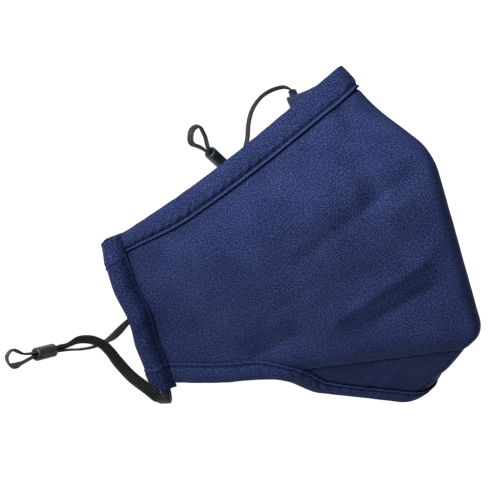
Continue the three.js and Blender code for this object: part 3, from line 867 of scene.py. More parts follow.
@dataclass
class CheekCloth:
    """The cloth over both cheeks, folded at the front: one sheet with a rounded edge at the crease."""

    cotton: Finish
    columns: int = 150
    fold_columns: int = 60
    rows: int = 120
    tucks_in: tuple[float, float] = (0.03, 0.07)
    lower_trim: float = 1.6
    crinkle: float = 0.16
    crinkle_fade: tuple[float, float] = (0.06, 0.2)
    seam_pull: float = 0.55
    lip_width: float = 2.2
    lip_from: float = 3.0
    lip_wear_and_highlight: float = 0.65
    front_wear: float = 0.14
    shadow: float = 0.85

    def surface(self) -> Surface:
        """The sheet: the form's cheek face plus fine crinkles, with a dip where the nose hem is sewn on."""
        across = cloth_columns(1.0, self.columns, self.fold_columns)
        share = 1 - np.abs(across)
        depth = FORM.panel_depth(share)
        chin_depth = FORM.chin_depth(across)
        start = FORM.inset * ease(share, *self.tucks_in)
        trim = self.lower_trim * ease(share, FORM.turn_start * 0.6, FORM.turn_start)
        end = depth - np.maximum(FORM.inset + trim - chin_depth, FORM.seam_gap / 2)
        rows, half = cloth_edge_rows(start, end, self.rows)
        down = rows / depth[:, None]
        grid = np.broadcast_to(across[:, None], down.shape)
        face = FORM.cheek(grid, down)
        normal = FORM.outward(FORM.cheek, grid, np.clip(down, 0.0, 1.0))
        u, v = grid * FORM.flank, (down - 0.5) * depth[:, None]
        fine = self.crinkle * ripple(u * 0.8 + v * 0.35, 21.0, 4) * ripple(v - u * 0.3, 15.0, 9)
        hem = FORM.hem_reach(Edge.NOSE, across)[:, None]
        dip = -self.seam_pull * bump(rows - hem, 0.2, 0.7)
        offset = fine * ease(1 - np.abs(grid), *self.crinkle_fade) + dip
        mid = face + normal * (offset - FORM.wall / 2)[..., None]
        # The lip at the crease is lightened, a faded edge and a painted highlight; the folded front is
        # lightened by wear
        lip = ease(end[:, None] - rows, self.lip_width, 0.0) * (chin_depth > self.lip_from)[:, None]
        wear_and_highlight = self.lip_wear_and_highlight * lip + self.front_wear * bump(grid, 0.0, 0.02)
        # Painted shade on the cheek beside the nose hem's inner edge
        painted_shade = self.shadow * bump(rows - hem, 0.25, 0.6)
        return closed_cloth(mid, normal, np.broadcast_to(half, down.shape), np.stack([u, v], axis=-1),
                            {"wear_and_highlight": np.clip(wear_and_highlight, 0, 1), "painted_shade": np.clip(painted_shade, 0, 1)})

    def dress(self) -> None:
        piece = declare(self.surface().build("cheek_cloth", self.cotton), "main_panel")
        width, length = 2 * FORM.flank * MM, FORM.front_run * MM
        width * (FORM.front_run + FORM.ear_edge) / 2 * MM


@dataclass
class ChinCloth:
    """The cloth below the crease, tucked behind the cheek's lip, turning under the chin."""

    cotton: Finish
    columns: int = 90
    fold_columns: int = 40
    rows: int = 56
    tuck: float = 2.2
    tuck_depth: float = 0.15
    tuck_slope: tuple[float, float] = (0.5, -0.9)
    tuck_grows: tuple[float, float] = (1.0, 5.5)
    soft_fold: float = 0.55
    slack_folds: tuple[tuple[float, float, float], ...] = ((1.0, 5.0, 2.6), (-0.8, 9.5, 3.0))
    slack_grows: tuple[float, float] = (12.0, 30.0)
    crinkle: float = 0.12
    shadow: float = 0.85
    area_share: float = 0.55

    def surface(self) -> Surface:
        """The sheet: the form's chin face set in by the step at the crease, with slack folds.

        Its upper edge runs on behind the cheek cloth, so that no light shows through at the crease, apart
        from the ends, where the hem holds both cloths edge to edge. A slack fold is its weight, its
        distance from the hem and its reach.
        """
        across = cloth_columns(1 - FORM.chin_start, self.columns, self.fold_columns)
        depth = FORM.chin_depth(across)
        tucked = ease(depth - FORM.hem_width, *self.tuck_grows)
        start = mix(FORM.seam_gap / 2, -self.tuck, tucked)
        rows, half = cloth_edge_rows(start, depth - FORM.inset, self.rows)
        down = rows / depth[:, None]
        grid = np.broadcast_to(across[:, None], down.shape)
        normal = FORM.chin_outward(grid, down)
        past_hem = depth[:, None] - rows - FORM.hem_width
        behind = FORM.wall + self.tuck_depth - FORM.crease_step
        set_in = FORM.crease_step + behind * ease(rows, *self.tuck_slope)
        set_in = set_in * ease(past_hem, FORM.crease_lead, FORM.crease_turn)
        cheek_out = FORM.outward(FORM.cheek, grid, np.ones_like(grid))
        upper = FORM.cheek(grid, 1 + np.minimum(rows, 0.0) / FORM.panel_depth(1 - np.abs(grid)))
        face = np.where((rows < 0)[..., None], upper, FORM.chin(grid, down)) - cheek_out * set_in[..., None]
        wide = ease(depth, *self.slack_grows)[:, None]
        slack = sum(weight * bump(past_hem, at, reach) for weight, at, reach in self.slack_folds)
        fine = self.crinkle * ripple(grid * FORM.flank, 11.0, 21)
        mid = face + normal * (wide * (self.soft_fold * slack + fine) - FORM.wall / 2)[..., None]
        uv = np.stack([grid * FORM.flank, FORM.front_run / 2 + rows], axis=-1)
        # Painted shade along the crease, where the chin cloth tucks behind the cheek's lip, and beside the
        # chin hem's inner edge
        painted_shade = np.clip(self.shadow * (bump(rows, 0.0, 1.5) + bump(past_hem, 0.25, 0.6)), 0, 1)
        return closed_cloth(mid, normal, np.broadcast_to(half, down.shape), uv,
                            {"wear_and_highlight": np.zeros_like(painted_shade), "painted_shade": painted_shade})

    def dress(self) -> None:
        piece = declare(self.surface().build("chin_cloth", self.cotton), "chin_panel")
        length = float(FORM.chin_depth(np.array([0.0]))[0]) * MM


@dataclass
class Hem:
    """A cloth edge folded double and sewn down: a puffed band with puckers at its stitches."""

    edge: Edge
    cotton: Finish
    thread: Finish
    limit: float = 0.0
    spacing: float = 0.55
    leg: float = 0.95
    fold_radius: float = 1.1
    puff: float = 0.75
    slot_gap: float = 0.25
    stitch_at: float = 8.9
    stitch_pitch: float = 2.5
    groove: float = 0.62
    dimple: float = 0.13
    pucker: float = 0.42
    lip_wave: float = 0.07
    slack: float = 0.2
    edge_wave: float = 0.12
    flattening: float = 0.0
    flattens: tuple[float, float] = (0.55, 0.85)
    seed: int = 3

    def stations(self) -> tuple[Array, Array]:
        """Even steps along the hem's stitch line: across values and the distance run, mm."""
        dense = np.linspace(self.limit, -self.limit, 1200)
        line, _ = FORM.place(self.edge, dense, np.full_like(dense, self.stitch_at))
        run = run_along(line)
        even = np.linspace(0.0, run[-1], int(run[-1] / self.spacing) + 1)
        return np.interp(even, run, dense), even

    def flattened(self, across: Array) -> Array:
        """How far the hem is pressed flat, which it is towards the front."""
        return self.flattening * ease(1 - np.abs(across), *self.flattens)[:, None]

    def profile(self) -> tuple[Array, Array]:
        """The section: distance x from the folded edge, height y over the cloth, and how far it is outside.

        A puffed outer leg that dips at the stitches, a half ellipse round the folded edge, a thinner inner
        leg, and the slot that holds the cloth.
        """
        gap, leg, radius = self.slot_gap, self.leg, self.fold_radius
        under, lip = -FORM.wall - gap, leg / 2
        rim = FORM.hem_width - lip
        x_top = np.linspace(rim, radius, 34)
        swell = self.puff * np.sin(np.pi * np.clip(x_top / (self.stitch_at + 0.4), 0, 1)) ** 0.8
        y_top = gap + leg + swell - self.groove * bump(x_top, self.stitch_at, 0.75)
        turn = np.linspace(np.pi / 2, 3 * np.pi / 2, 13)[1:-1]
        middle, reach = (y_top[-1] + under - leg) / 2, (y_top[-1] - under + leg) / 2
        x_fold, y_fold = radius + radius * np.cos(turn), middle + reach * np.sin(turn)
        x_under = np.linspace(radius, rim, 12)
        y_under = under - leg + 0.3 * bump(x_under, self.stitch_at, 0.9)
        end = np.linspace(-np.pi / 2, np.pi / 2, 6)[1:-1]
        x_end, y_end = rim + lip * np.cos(end), lip * np.sin(end)
        slot = FORM.inset - gap
        x_slot = np.concatenate([np.linspace(rim, slot, 6), np.linspace(slot, rim, 8)])
        y_slot = np.concatenate([np.full(6, under), np.full(8, gap)])
        x = np.concatenate([x_top, x_fold, x_under, x_end, x_slot, x_end])
        y = np.concatenate([y_top, y_fold, y_under, under - lip + y_end, y_slot, gap + lip + y_end])
        outside = np.zeros_like(x)
        outside[:len(x_top)] = 1.0
        outside[-len(x_end):] = 0.6
        return np.stack([x, y], axis=1), outside

    def relief(self, run: Array, x: Array) -> Array:
        """Height of the puckers: dimples at each stitch, slanted gathers behind them and an uneven puff."""
        beat = np.cos(2 * np.pi * run / self.stitch_pitch)
        dimple = -self.dimple * (0.6 + 0.4 * beat) * bump(x, self.stitch_at, 0.8)
        slanted = ripple(run + 0.75 * x, self.stitch_pitch * 1.9, self.seed)
        gather = self.pucker * slanted * bump(x, self.stitch_at - 1.3, 1.7)
        late = np.cos(2 * np.pi * run / self.stitch_pitch + 0.8)
        lip = self.lip_wave * late * bump(x, FORM.hem_width - 0.4, 0.5)
        slack = self.slack * ripple(run, 17.0, self.seed + 7) * bump(x, 4.4, 3.0)
        return dimple + gather + lip + slack

    def surface(self) -> Surface:
        """The band: the section carried along the edge, with its relief on the outside."""
        across, run = self.stations()
        profile, outside = self.profile()
        x, y = (np.broadcast_to(profile[:, k], (len(across), len(profile))) for k in (0, 1))
        edge_wave = self.edge_wave * ripple(run, 9.0, self.seed + 2)[:, None] * bump(x, 0.0, 1.5)
        reach = FORM.hem_reach(self.edge, across)[:, None] / FORM.hem_width
        point, outward = FORM.place(self.edge, across[:, None], np.maximum(x + edge_wave, 0.0) * reach)
        height = y + outside * self.relief(run[:, None], x)
        flat = self.slot_gap + self.leg * 0.8
        pressed = mix(height, flat + (height - flat) * 0.3, self.flattened(across))
        rings = point + outward * np.where(height > flat, pressed, height)[..., None]
        uv = np.stack([np.broadcast_to(run[:, None], x.shape), np.where(y < -1.0, -x, x) + HEM_UV], axis=-1)
        # The hem's inner lip and folded edge are lightened: faded edges and a painted highlight
        wear_and_highlight = outside * (0.42 * bump(x, FORM.hem_width - 0.5, 0.45) + 0.25 * bump(x, 0.3, 0.8))
        # Painted shade in the stitch groove and over the faces inside and under the hem
        painted_shade = np.where(outside > 0, outside * 0.8 * bump(x, self.stitch_at - 0.1, 0.5), 0.25)
        return solid_strip(rings, uv, {"wear_and_highlight": wear_and_highlight, "painted_shade": painted_shade})

    def seam(self) -> Surface:
        """The stitches that sew the hem down, on both faces of the cloth."""
        across, run = self.stations()
        middles = (np.arange(int(run[-1] / self.stitch_pitch)) + 0.5) * self.stitch_pitch
        lower = 0.06 + 0.1 * self.flattened(np.interp(middles, run, across))
        height = self.slot_gap + self.leg + self.puff * 0.12 - self.groove - lower
        ends = []
        for offset in (STITCH_HALF, -STITCH_HALF):
            at = np.interp(middles + offset * self.stitch_pitch, run, across)
            reach = FORM.hem_reach(self.edge, at) / FORM.hem_width
            point, outward = FORM.place(self.edge, at, self.stitch_at * reach)
            ends.append(point + outward * height)
        return stitches(ends[1], ends[0], outward, THREAD_RADIUS)

    def dress(self) -> None:
        """Builds the band and its seam."""
        node = f"{self.edge.value}_hem"
        declare(self.surface().build(f"{node}_cloth", self.cotton), node)
        declare(self.seam().build(f"{node}_stitches", self.thread))


def stitches(start: Array, end: Array, outward: Array, radius: float) -> Surface:
    """Short threads from start to end, each a capsule that rises in its middle.

    Along a thread the radius is a half ellipse and the height a half sine.

    Args:
        start: (n, 3) where the thread comes out of the cloth.
        end: (n, 3) where it goes back in.
        outward: (n, 3) away from the cloth.
        radius: of the thread, mm.
    """
    rings, sides = 7, 6
    t = np.linspace(0.0, 1.0, rings)
    wide = np.maximum(np.sqrt(np.clip(1 - (2 * t - 1) ** 4, 0, 1)), 0.25) * radius
    angle = np.arange(sides) * 2 * np.pi / sides
    along = unit(end - start)
    beside = unit(np.cross(along, outward))
    up = np.cross(beside, along)
    spine = mix(start[:, None, :], end[:, None, :], t[None, :, None])
    spine = spine + up[:, None, :] * (0.6 * radius * np.sin(np.pi * t))[None, :, None]
    ring = (beside[:, None, None, :] * np.cos(angle)[None, None, :, None]
            + up[:, None, None, :] * np.sin(angle)[None, None, :, None])
    points = spine[:, :, None, :] + ring * wide[None, :, None, None]
    faces = [tuple(k + first for k in face) for first in range(0, len(start) * rings * sides, rings * sides)
             for face in capped_rings(rings, sides)]
    flat = points.reshape(-1, 3)
    return Surface(flat, faces, flat[:, :2].copy())


@dataclass
class SideCasing:
    """The flat channel folded along an ear edge: sewn flat at its inner edge and full at the ear edge."""

    side: Side
    cotton: Finish
    thread: Finish
    wall: float = 0.55
    hem_rise: float = 0.5
    hem_at: float = 10.4
    hem_stitch_in: float = 1.3
    hem_lip_in: float = 0.5
    stitch_at: float = 6.75
    stitch_pitch: float = 2.5
    stitch_height: float = 1.46
    stitches_from: float = 2.0
    spacing: float = 0.5
    outline_step: float = 0.28
    pucker: float = 0.5
    dimple: float = 0.1
    groove: float = 0.3
    shade: float = 0.55
    start: float = -0.6
    end_reach: float = 1.9
    end_flat: float = 0.72
    end_run: float = 20.0
    chin_reach: float = 1.3

    OUTLINE = ((7.75, 0.32), (7.95, 0.75), (7.85, 1.2), (7.45, 1.5), (6.9, 1.5), (6.3, 2.1), (5.6, 3.1),
               (4.8, 3.9), (3.8, 4.35), (2.6, 4.55), (1.5, 4.5), (0.6, 4.25), (0.05, 3.8), (-0.1, 2.9),
               (-0.05, 1.6), (0.1, 0.7), (0.6, 0.32), (2.6, 0.3), (5.4, 0.3))
    HOLE_END = (6.5, 0.9)
    HEM_STITCHES = (((1.0, 4.75), (2.5, 4.95)), ((3.2, 4.85), (4.6, 4.4)), ((5.2, 3.95), (6.3, 2.5)))

    def profile(self) -> tuple[Array, Array, Array]:
        """The section and the hole in it, as a smooth closed line and the same line moved in by the wall.

        Returns:
            Outer (m, 2), inner (m, 2) and outward directions (m, 2).
        """
        outer = smooth_route(np.array(self.OUTLINE), self.outline_step, closed=True)
        slope = unit(np.roll(outer, -1, axis=0) - np.roll(outer, 1, axis=0))
        normal = np.stack([slope[:, 1], -slope[:, 0]], axis=1)
        if np.sum((outer - outer.mean(axis=0)) * normal) < 0:
            normal = -normal
        closes = ease(outer[:, 0], 6.3, 7.4)[:, None]
        return outer, mix(outer - normal * self.wall, np.array([self.HOLE_END]), closes), normal

    def place(self, profile: Array, length: Array) -> Array:
        """Carries (n, m, 2) section points along the ear edge at (n,) lengths.

        x goes up the cheek's face, y out from it, and points low on the section slide down to the table.
        Toward the nose the section flattens, and its ear side reaches further, in line with the nose edge.
        Toward the chin all of it reaches further, over the turn of the elastic.
        """
        down = length / FORM.ear_edge
        near = 1 - ease(length, 0.0, self.end_run)
        wide = FORM.casing_width / FORM.flank
        at_foot, halfway, at_seam = (np.full_like(down, self.side.value * (1 - share * wide))
                                     for share in (0.0, 0.5, 1.0))
        foot = FORM.cheek(at_foot, down)
        up = unit(FORM.cheek(at_seam, down) - foot)
        out = FORM.outward(FORM.cheek, halfway, np.clip(down, 0.0, 1.0))
        out = unit(out - up * np.sum(out * up, axis=-1, keepdims=True))
        x, y = profile[..., 0], profile[..., 1] * mix(1.0, self.end_flat, near)[:, None]
        low = 1 - x / FORM.casing_width
        rise = x - y * (out[:, 2] / up[:, 2])[:, None] * low
        point = foot[:, None, :] + up[:, None, :] * rise[..., None] + out[:, None, :] * y[..., None]
        far = ease(length, FORM.ear_edge - self.end_run, FORM.ear_edge)[:, None]
        point[..., 1] += far * self.chin_reach - near[:, None] * self.end_reach * low
        return point

    def hem_zone(self, length: Array) -> Array:
        """1 where the casing's end is hemmed, with a steep step at the hem's folded edge."""
        to_end = np.minimum(length, FORM.ear_edge - length)
        return ease(to_end, self.hem_at, self.hem_at - 0.5)

    def hem_lines(self, inward: float) -> tuple[float, float]:
        """Lengths of the lines that cross both hemmed ends, at a distance from the hem's folded edge."""
        return self.hem_at - inward, FORM.ear_edge - self.hem_at + inward

    def relief(self, length: Array, x: Array) -> Array:
        """Soft puckers that cross the casing, deepest near its seam, and the dimples of its stitches."""
        cross = ripple(length + 0.25 * x, 13.0, 5 + self.side.value)
        puckers = self.pucker * cross * bump(x, 4.6, 2.4)
        beat = np.cos(2 * np.pi * length / self.stitch_pitch)
        dimple = -self.dimple * (0.6 + 0.4 * beat) * bump(x, self.stitch_at, 0.7)
        return puckers * (1 - 0.7 * self.hem_zone(length)) + dimple

    def surface(self) -> Surface:
        """The channel: the section carried along the ear edge, raised where its ends are hemmed."""
        outer, inner, normal = self.profile()
        count = int((FORM.ear_edge - self.start) / self.spacing) + 1
        length = np.linspace(self.start, FORM.ear_edge, count)[:, None]
        x = np.broadcast_to(outer[:, 0], (count, len(outer)))
        facing = np.clip(normal[:, 1] * 1.3, 0.0, 1.0) * ease(outer[:, 1], 0.6, 1.2)
        groove = sum(bump(length, at, 0.55) for at in self.hem_lines(self.hem_stitch_in))
        lip = sum(bump(length, at, 0.4) for at in self.hem_lines(self.hem_lip_in))
        raised = self.hem_rise * self.hem_zone(length) - self.groove * groove
        push = facing * (self.relief(length, x) + raised)
        moved = outer + normal * push[..., None]
        shell = self.place(moved, length[:, 0])
        hole = self.place(np.broadcast_to(inner, moved.shape), length[:, 0])
        around = np.arange(len(outer)) * self.outline_step + CASING_UV
        uv = np.stack(np.broadcast_arrays(length, around), axis=-1)
        # The lips at both hemmed ends are lightened: faded edges and a painted highlight
        wear_and_highlight = facing * 0.45 * lip
        # Painted shade over the casing's inner part toward its seam, at the stitch line and in the hem
        # grooves
        shade = self.shade * ease(length, 3.0, self.end_run) * ease(x, 3.8, 6.8)
        painted_shade = facing * (0.5 * bump(x, self.stitch_at, 0.5) + shade + 0.6 * groove)
        return hollow_strip(shell, hole, uv, {"wear_and_highlight": np.clip(wear_and_highlight, 0, 1), "painted_shade": np.clip(painted_shade, 0, 1)})

    def seam(self) -> Surface:
        """The stitches along the inner edge and across both hemmed ends."""
        count = int((FORM.ear_edge - 2 * self.stitches_from) / self.stitch_pitch)
        middle = self.stitches_from + (np.arange(count) + 0.5) * self.stitch_pitch
        height = self.stitch_height + self.hem_rise * 0.8 * self.hem_zone(middle)
        spot = np.stack([np.full_like(middle, self.stitch_at), height], axis=-1)[:, None, :]
        ends = []
        for which, offset in enumerate((-STITCH_HALF, STITCH_HALF)):
            across = np.array([pair[which] for pair in self.HEM_STITCHES])[None, :, :]
            ends.append(np.vstack([self.place(spot, middle + offset * self.stitch_pitch)[:, 0], *(
                self.place(across, np.array([at]))[0] for at in self.hem_lines(self.hem_stitch_in))]))
        out = FORM.outward(FORM.cheek, np.array([0.97 * self.side.value]), np.array([0.5]))
        return stitches(*ends, np.broadcast_to(out, ends[0].shape), THREAD_RADIUS)

    def dress(self) -> None:
        """Builds the channel and its seams."""
        word = self.side.word
        channel = self.surface().build(f"side_casing_cloth_{word}", self.cotton)
        declare(channel, f"side_casing_{word}")
        declare(self.seam().build(f"side_casing_stitches_{word}", self.thread))


@dataclass
class BarTack:
    """A short dense row of stitches that locks the casing's seam at the nose hem."""

    side: Side
    thread: Finish
    length: float = 4.4
    width: float = 1.1
    count: int = 12
    first: float = 2.9
    height: float = 2.0
    beyond_casing: float = 0.3
    thread_radius: float = 0.24

    def surface(self) -> Surface:
        """Threads across the seam line, one beside another."""
        at = self.first + np.linspace(0.0, self.length, self.count)
        across = 1 - (FORM.casing_width + self.beyond_casing) / FORM.flank
        half = self.width / 2 / FORM.flank
        ends = []
        for shift in (-half, half):
            point, out = FORM.upper_place(np.full_like(at, self.side.value * (across + shift)), at)
            ends.append(point + out * self.height)
        _, out = FORM.upper_place(np.full_like(at, self.side.value * across), at)
        return stitches(*ends, out, self.thread_radius)

    def dress(self) -> None:
        """Builds the tack."""
        declare(self.surface().build(f"bar_tack_{self.side.word}", self.thread))


# Elastic and locks


@dataclass
class CordLock:
    """A soft silicone tube that both strands pass through: open mouth to the mask, rounded far end."""

    side: Side
    silicone: Finish
    length: float = 10.5
    diameter: float = 5.5
    bore: float = 4.2
    end_hole: float = 1.74
    mouth_round: float = 0.28
    end_round: float = 0.85
    strand_spread: float = 0.82
    turns: int = 56

    MOUTHS = {Side.RIGHT: (113.1, 21.5), Side.LEFT: (-10.2, 3.7)}
    ENDS = {Side.RIGHT: (122.8, 17.6), Side.LEFT: (-4.6, -5.6)}

    def axis(self) -> tuple[Array, Array]:
        """Middle of the mouth, and the direction to the far end."""
        start = np.array([*self.MOUTHS[self.side], self.diameter / 2])
        return start, unit(np.array([*self.ENDS[self.side], self.diameter / 2]) - start)

    def strand(self, beside_sign: float) -> Array:
        """Points of one strand through the lock, beside the other one, from before it to past it."""
        start, direction = self.axis()
        beside = np.array([direction[1], -direction[0], 0.0]) * beside_sign * self.strand_spread
        run = np.array([-1.5, 1.5, self.length / 2, self.length - 1.5, self.length + 1.5])
        return start + run[:, None] * direction + beside

    def surface(self) -> Surface:
        """A turned tube: a thin lip at the mouth, a straight wall, and a quarter round at the far end."""
        outer, inner, hole, length = self.diameter / 2, self.bore / 2, self.end_hole, self.length
        edge, far = self.mouth_round, self.end_round
        bend = np.linspace(0.0, np.pi / 2, 8)
        profile = np.array([
            (inner + 0.02, 0.12), (inner + 0.1, 0.02), (outer - edge, 0.0),
            *((outer - edge + edge * np.sin(a), edge - edge * np.cos(a)) for a in bend[1:]),
            (outer - 0.03, 1.2), (outer - 0.03, 3.0), (outer, 5.5), (outer, 8.0),
            *((outer - far + far * np.cos(a), length - far + far * np.sin(a)) for a in bend[:-1]),
            (outer - far, length), (hole + 0.1, length - 0.02), (hole, length - 0.2),
            (hole + 0.1, length - 1.2), (inner, length - 2.4), (inner, length / 2), (inner, 0.6)])
        angle = np.arange(self.turns) * 2 * np.pi / self.turns
        start, direction = self.axis()
        beside = unit(np.cross(direction, np.array([0.0, 0.0, 1.0])))
        up = np.cross(beside, direction)
        ring = beside * np.cos(angle)[:, None] + up * np.sin(angle)[:, None]
        points = start + profile[:, 1][:, None, None] * direction + profile[:, 0][:, None, None] * ring
        quads = ring_quads(len(profile) + 1, self.turns) % (len(profile) * self.turns)
        uv = np.stack(np.broadcast_arrays(profile[:, 1][:, None], angle[None, :] * outer), axis=-1)
        return Surface(points.reshape(-1, 3), as_faces(quads), uv.reshape(-1, 2))

    def dress(self) -> Piece:
        """Builds the tube."""
        piece = self.surface().build(f"silicone_lock_{self.side.word}", self.silicone)
        return declare(piece, f"cord_lock_{self.side.word}")


@dataclass
class EarLoop:
    """A ribbed flat elastic from the casing's chin end through the lock, and round back to its nose end.

    The routes are points of its centreline. A state tells how it lies at a distance along it: that
    distance, its width and its thickness, all in mm, and its turn from flat in degrees.
    """

    side: Side
    elastic: Finish
    lock: CordLock
    width: float = 5.0
    ribs: int = 4
    spacing: float = 0.55
    clearance: float = 0.05
    sides: int = 52
    section_powers: tuple[float, float] = (0.75, 0.6)

    TO_LOCK = {
        Side.RIGHT: (
            (63.2, 60, 4.1), (62.6, 66, 4.1), (62.2, 71, 3.8), (62, 74.9, 3.3), (61.9, 77.6, 2.8),
            (63, 79, 2.6), (64.6, 77.2, 2.1), (66.6, 73.6, 1.5), (69.6, 68, 1.1), (75.6, 58.4, 1.1),
            (80.6, 47.8, 1.3), (84.2, 40.2, 2.6), (87.6, 34.6, 3.5), (92.4, 29.3, 3.3),
            (98.6, 25.6, 2.6), (105.6, 24, 2.6)),
        Side.LEFT: (
            (-63.2, 60, 4.1), (-62.6, 66, 4.1), (-62, 71.5, 4), (-60.2, 75.8, 3.6), (-56, 77.4, 2.8),
            (-51, 73.8, 1.7), (-46.6, 66, 1.1), (-42.6, 55.6, 1.1), (-35.6, 46.4, 1.1),
            (-25.6, 40.6, 1.1), (-17.8, 31.8, 1.1), (-15.2, 21.6, 1.4), (-14.4, 12.6, 2.4)),
    }
    END_LOOP = {
        Side.RIGHT: (
            (127.6, 14.4, 1.8), (132.4, 9.6, 1.2), (136.4, 10.3, 1.1), (136.2, 14.6, 1.1),
            (130.6, 17, 1.7)),
        Side.LEFT: (
            (-0.9, -9.6, 1.9), (3, -14, 1.2), (0.6, -18.4, 1.1), (-4.4, -17.9, 1.1), (-5.9, -12.6, 1.6)),
    }
    FROM_LOCK = {
        Side.RIGHT: (
            (104.8, 26.6, 2.2), (97.4, 31, 1.2), (89.6, 34.4, 1.1), (79.6, 36.2, 1.1), (70.6, 35.8, 1.1),
            (63, 35.2, 1.1), (56.4, 33.2, 1.1), (52.6, 26.6, 1.1), (51.8, 20, 1.2), (52.8, 14, 1.6),
            (53.8, 7, 2.8), (56, 2.4, 3.2), (58.6, 0.2, 3.2), (61.4, -0.4, 3), (63.8, 0.6, 3),
            (65.2, 3, 3.2), (66, 6, 3.6), (66.5, 10, 4.1)),
        Side.LEFT: (
            (-16.6, 11.6, 2.3), (-21.4, 11.8, 1.3), (-26.8, 6.6, 1.1), (-30.8, 2.4, 1.1),
            (-33.6, -2.4, 1.1), (-37.6, -6.6, 1.1), (-42.6, -8.8, 1.1), (-48.6, -9.6, 1.3),
            (-55, -9, 2.4), (-60.4, -7, 3.4), (-63.4, -3.6, 3.8), (-64.5, 0.8, 3.8), (-65.3, 5, 3.8),
            (-66.3, 9.5, 4.1)),
    }
    STATES = {
        Side.RIGHT: (
            (0, 2.0, 1.0, 117), (9, 2.2, 1.0, 117), (13, 5.0, 1.0, 104), (18, 5.0, 1.0, 90),
            (22, 5.0, 1.0, 68), (27, 5.0, 1.0, 30), (34, 5.0, 1.0, 12), (58, 5.0, 1.0, 8),
            (66, 4.4, 1.0, 10), (75, 3.8, 1.1, 8), (84, 3.6, 1.1, 14), (96, 3.0, 1.15, 40),
            (103, 2.2, 1.0, 90), (116, 2.2, 1.0, 90), (121, 2.6, 1.0, 80), (128, 3.6, 1.0, 62),
            (134, 3.6, 1.0, 62), (141, 2.2, 1.0, 90), (161, 2.2, 1.0, 90), (186, 2.2, 1.0, 90),
            (198, 3.2, 1.1, 30), (206, 2.5, 1.1, 20), (222, 2.5, 1.1, 10), (240, 2.6, 1.1, 30),
            (256, 2.6, 1.1, 90), (263, 2.0, 1.0, 105), (278, 2.0, 1.0, 117)),
        Side.LEFT: (
            (0, 2.0, 1.0, 63), (10, 2.0, 1.0, 63), (18, 3.4, 1.0, 60), (28, 4.4, 1.0, 12),
            (70, 4.4, 1.0, 8), (95, 3.2, 1.0, 30), (106, 2.2, 1.0, 90), (124, 2.2, 1.0, 90),
            (131, 2.8, 1.0, 70), (142, 2.8, 1.0, 70), (152, 2.2, 1.0, 90), (172, 2.2, 1.0, 90),
            (184, 2.2, 1.0, 60), (196, 2.2, 1.0, 80), (215, 1.9, 1.0, 70), (226, 2.0, 1.0, 50),
            (235, 2.4, 1.0, 60), (241, 2.0, 1.0, 63), (251, 2.0, 1.0, 63)),
    }

    def route(self) -> Array:
        """The centreline in even steps, lifted where the turned band would dip below the table."""
        first = float(self.side.value)
        points = np.vstack([
            np.array(self.TO_LOCK[self.side], float), self.lock.strand(first),
            np.array(self.END_LOOP[self.side], float), self.lock.strand(-first)[::-1],
            np.array(self.FROM_LOCK[self.side], float)])
        line = smooth_route(points, self.spacing)
        width, thickness, turn = self.states(np.arange(len(line)) * self.spacing)
        tall = width / 2 * np.abs(np.sin(turn)) + thickness / 2 * np.abs(np.cos(turn)) + self.clearance
        line[:, 2] = np.maximum(line[:, 2], tall)
        return line

    def states(self, run: Array) -> tuple[Array, Array, Array]:
        """Width, thickness and turn (radians) at distances along the band, eased between the states."""
        listed = np.array(self.STATES[self.side], float)
        listed[:, 3] = np.radians(listed[:, 3])
        at = listed[:, 0]
        index = np.clip(np.searchsorted(at, run, side="right") - 1, 0, len(at) - 2)
        part = ease((run - at[index]) / (at[index + 1] - at[index]), 0.0, 1.0)
        _, width, thickness, turn = mix(listed[index], listed[index + 1], part[:, None]).T
        return width, thickness, turn

    def surface(self, line: Array) -> Surface:
        """The band: a flattened oval with ribs on both faces, turned about the centreline."""
        angle = np.arange(self.sides) * 2 * np.pi / self.sides
        flat_x, flat_y = (np.sign(wave) * np.abs(wave) ** power
                          for wave, power in zip((np.cos(angle), np.sin(angle)), self.section_powers))
        # rib is 1 on the crests, where the elastic's painted highlight goes, and 0 in the grooves, where
        # its painted shade goes; it also sets the ribs' height
        rib = 0.5 - 0.5 * np.cos(2 * np.pi * self.ribs * (flat_x + 1) / 2)
        rib = np.maximum(rib, 0.5 * ease(np.abs(flat_x), 0.82, 1.0))
        run = np.arange(len(line)) * self.spacing
        width, thickness, turn = self.states(run)
        forward = unit(np.gradient(line, axis=0))
        beside = unit(np.cross(forward, np.array([0.0, 0.0, 1.0])))
        up = np.cross(beside, forward)
        across = beside * np.cos(turn)[:, None] + up * np.sin(turn)[:, None]
        normal = -beside * np.sin(turn)[:, None] + up * np.cos(turn)[:, None]
        x = flat_x * width[:, None] / 2
        y = flat_y * thickness[:, None] / 2 * (0.6 + 0.4 * rib)
        rings = line[:, None, :] + across[:, None, :] * x[..., None] + normal[:, None, :] * y[..., None]
        uv = np.stack(np.broadcast_arrays(run[:, None], flat_x * self.width / 2), axis=-1)
        return solid_strip(rings, uv, {"rib": np.broadcast_to(rib, x.shape)})

    def dress(self, lock_piece: Piece) -> None:
        line = self.route()
        piece = self.surface(line).build(f"elastic_loop_{self.side.word}", self.elastic)
        declare(piece, f"ear_loop_{self.side.word}")


# Studio


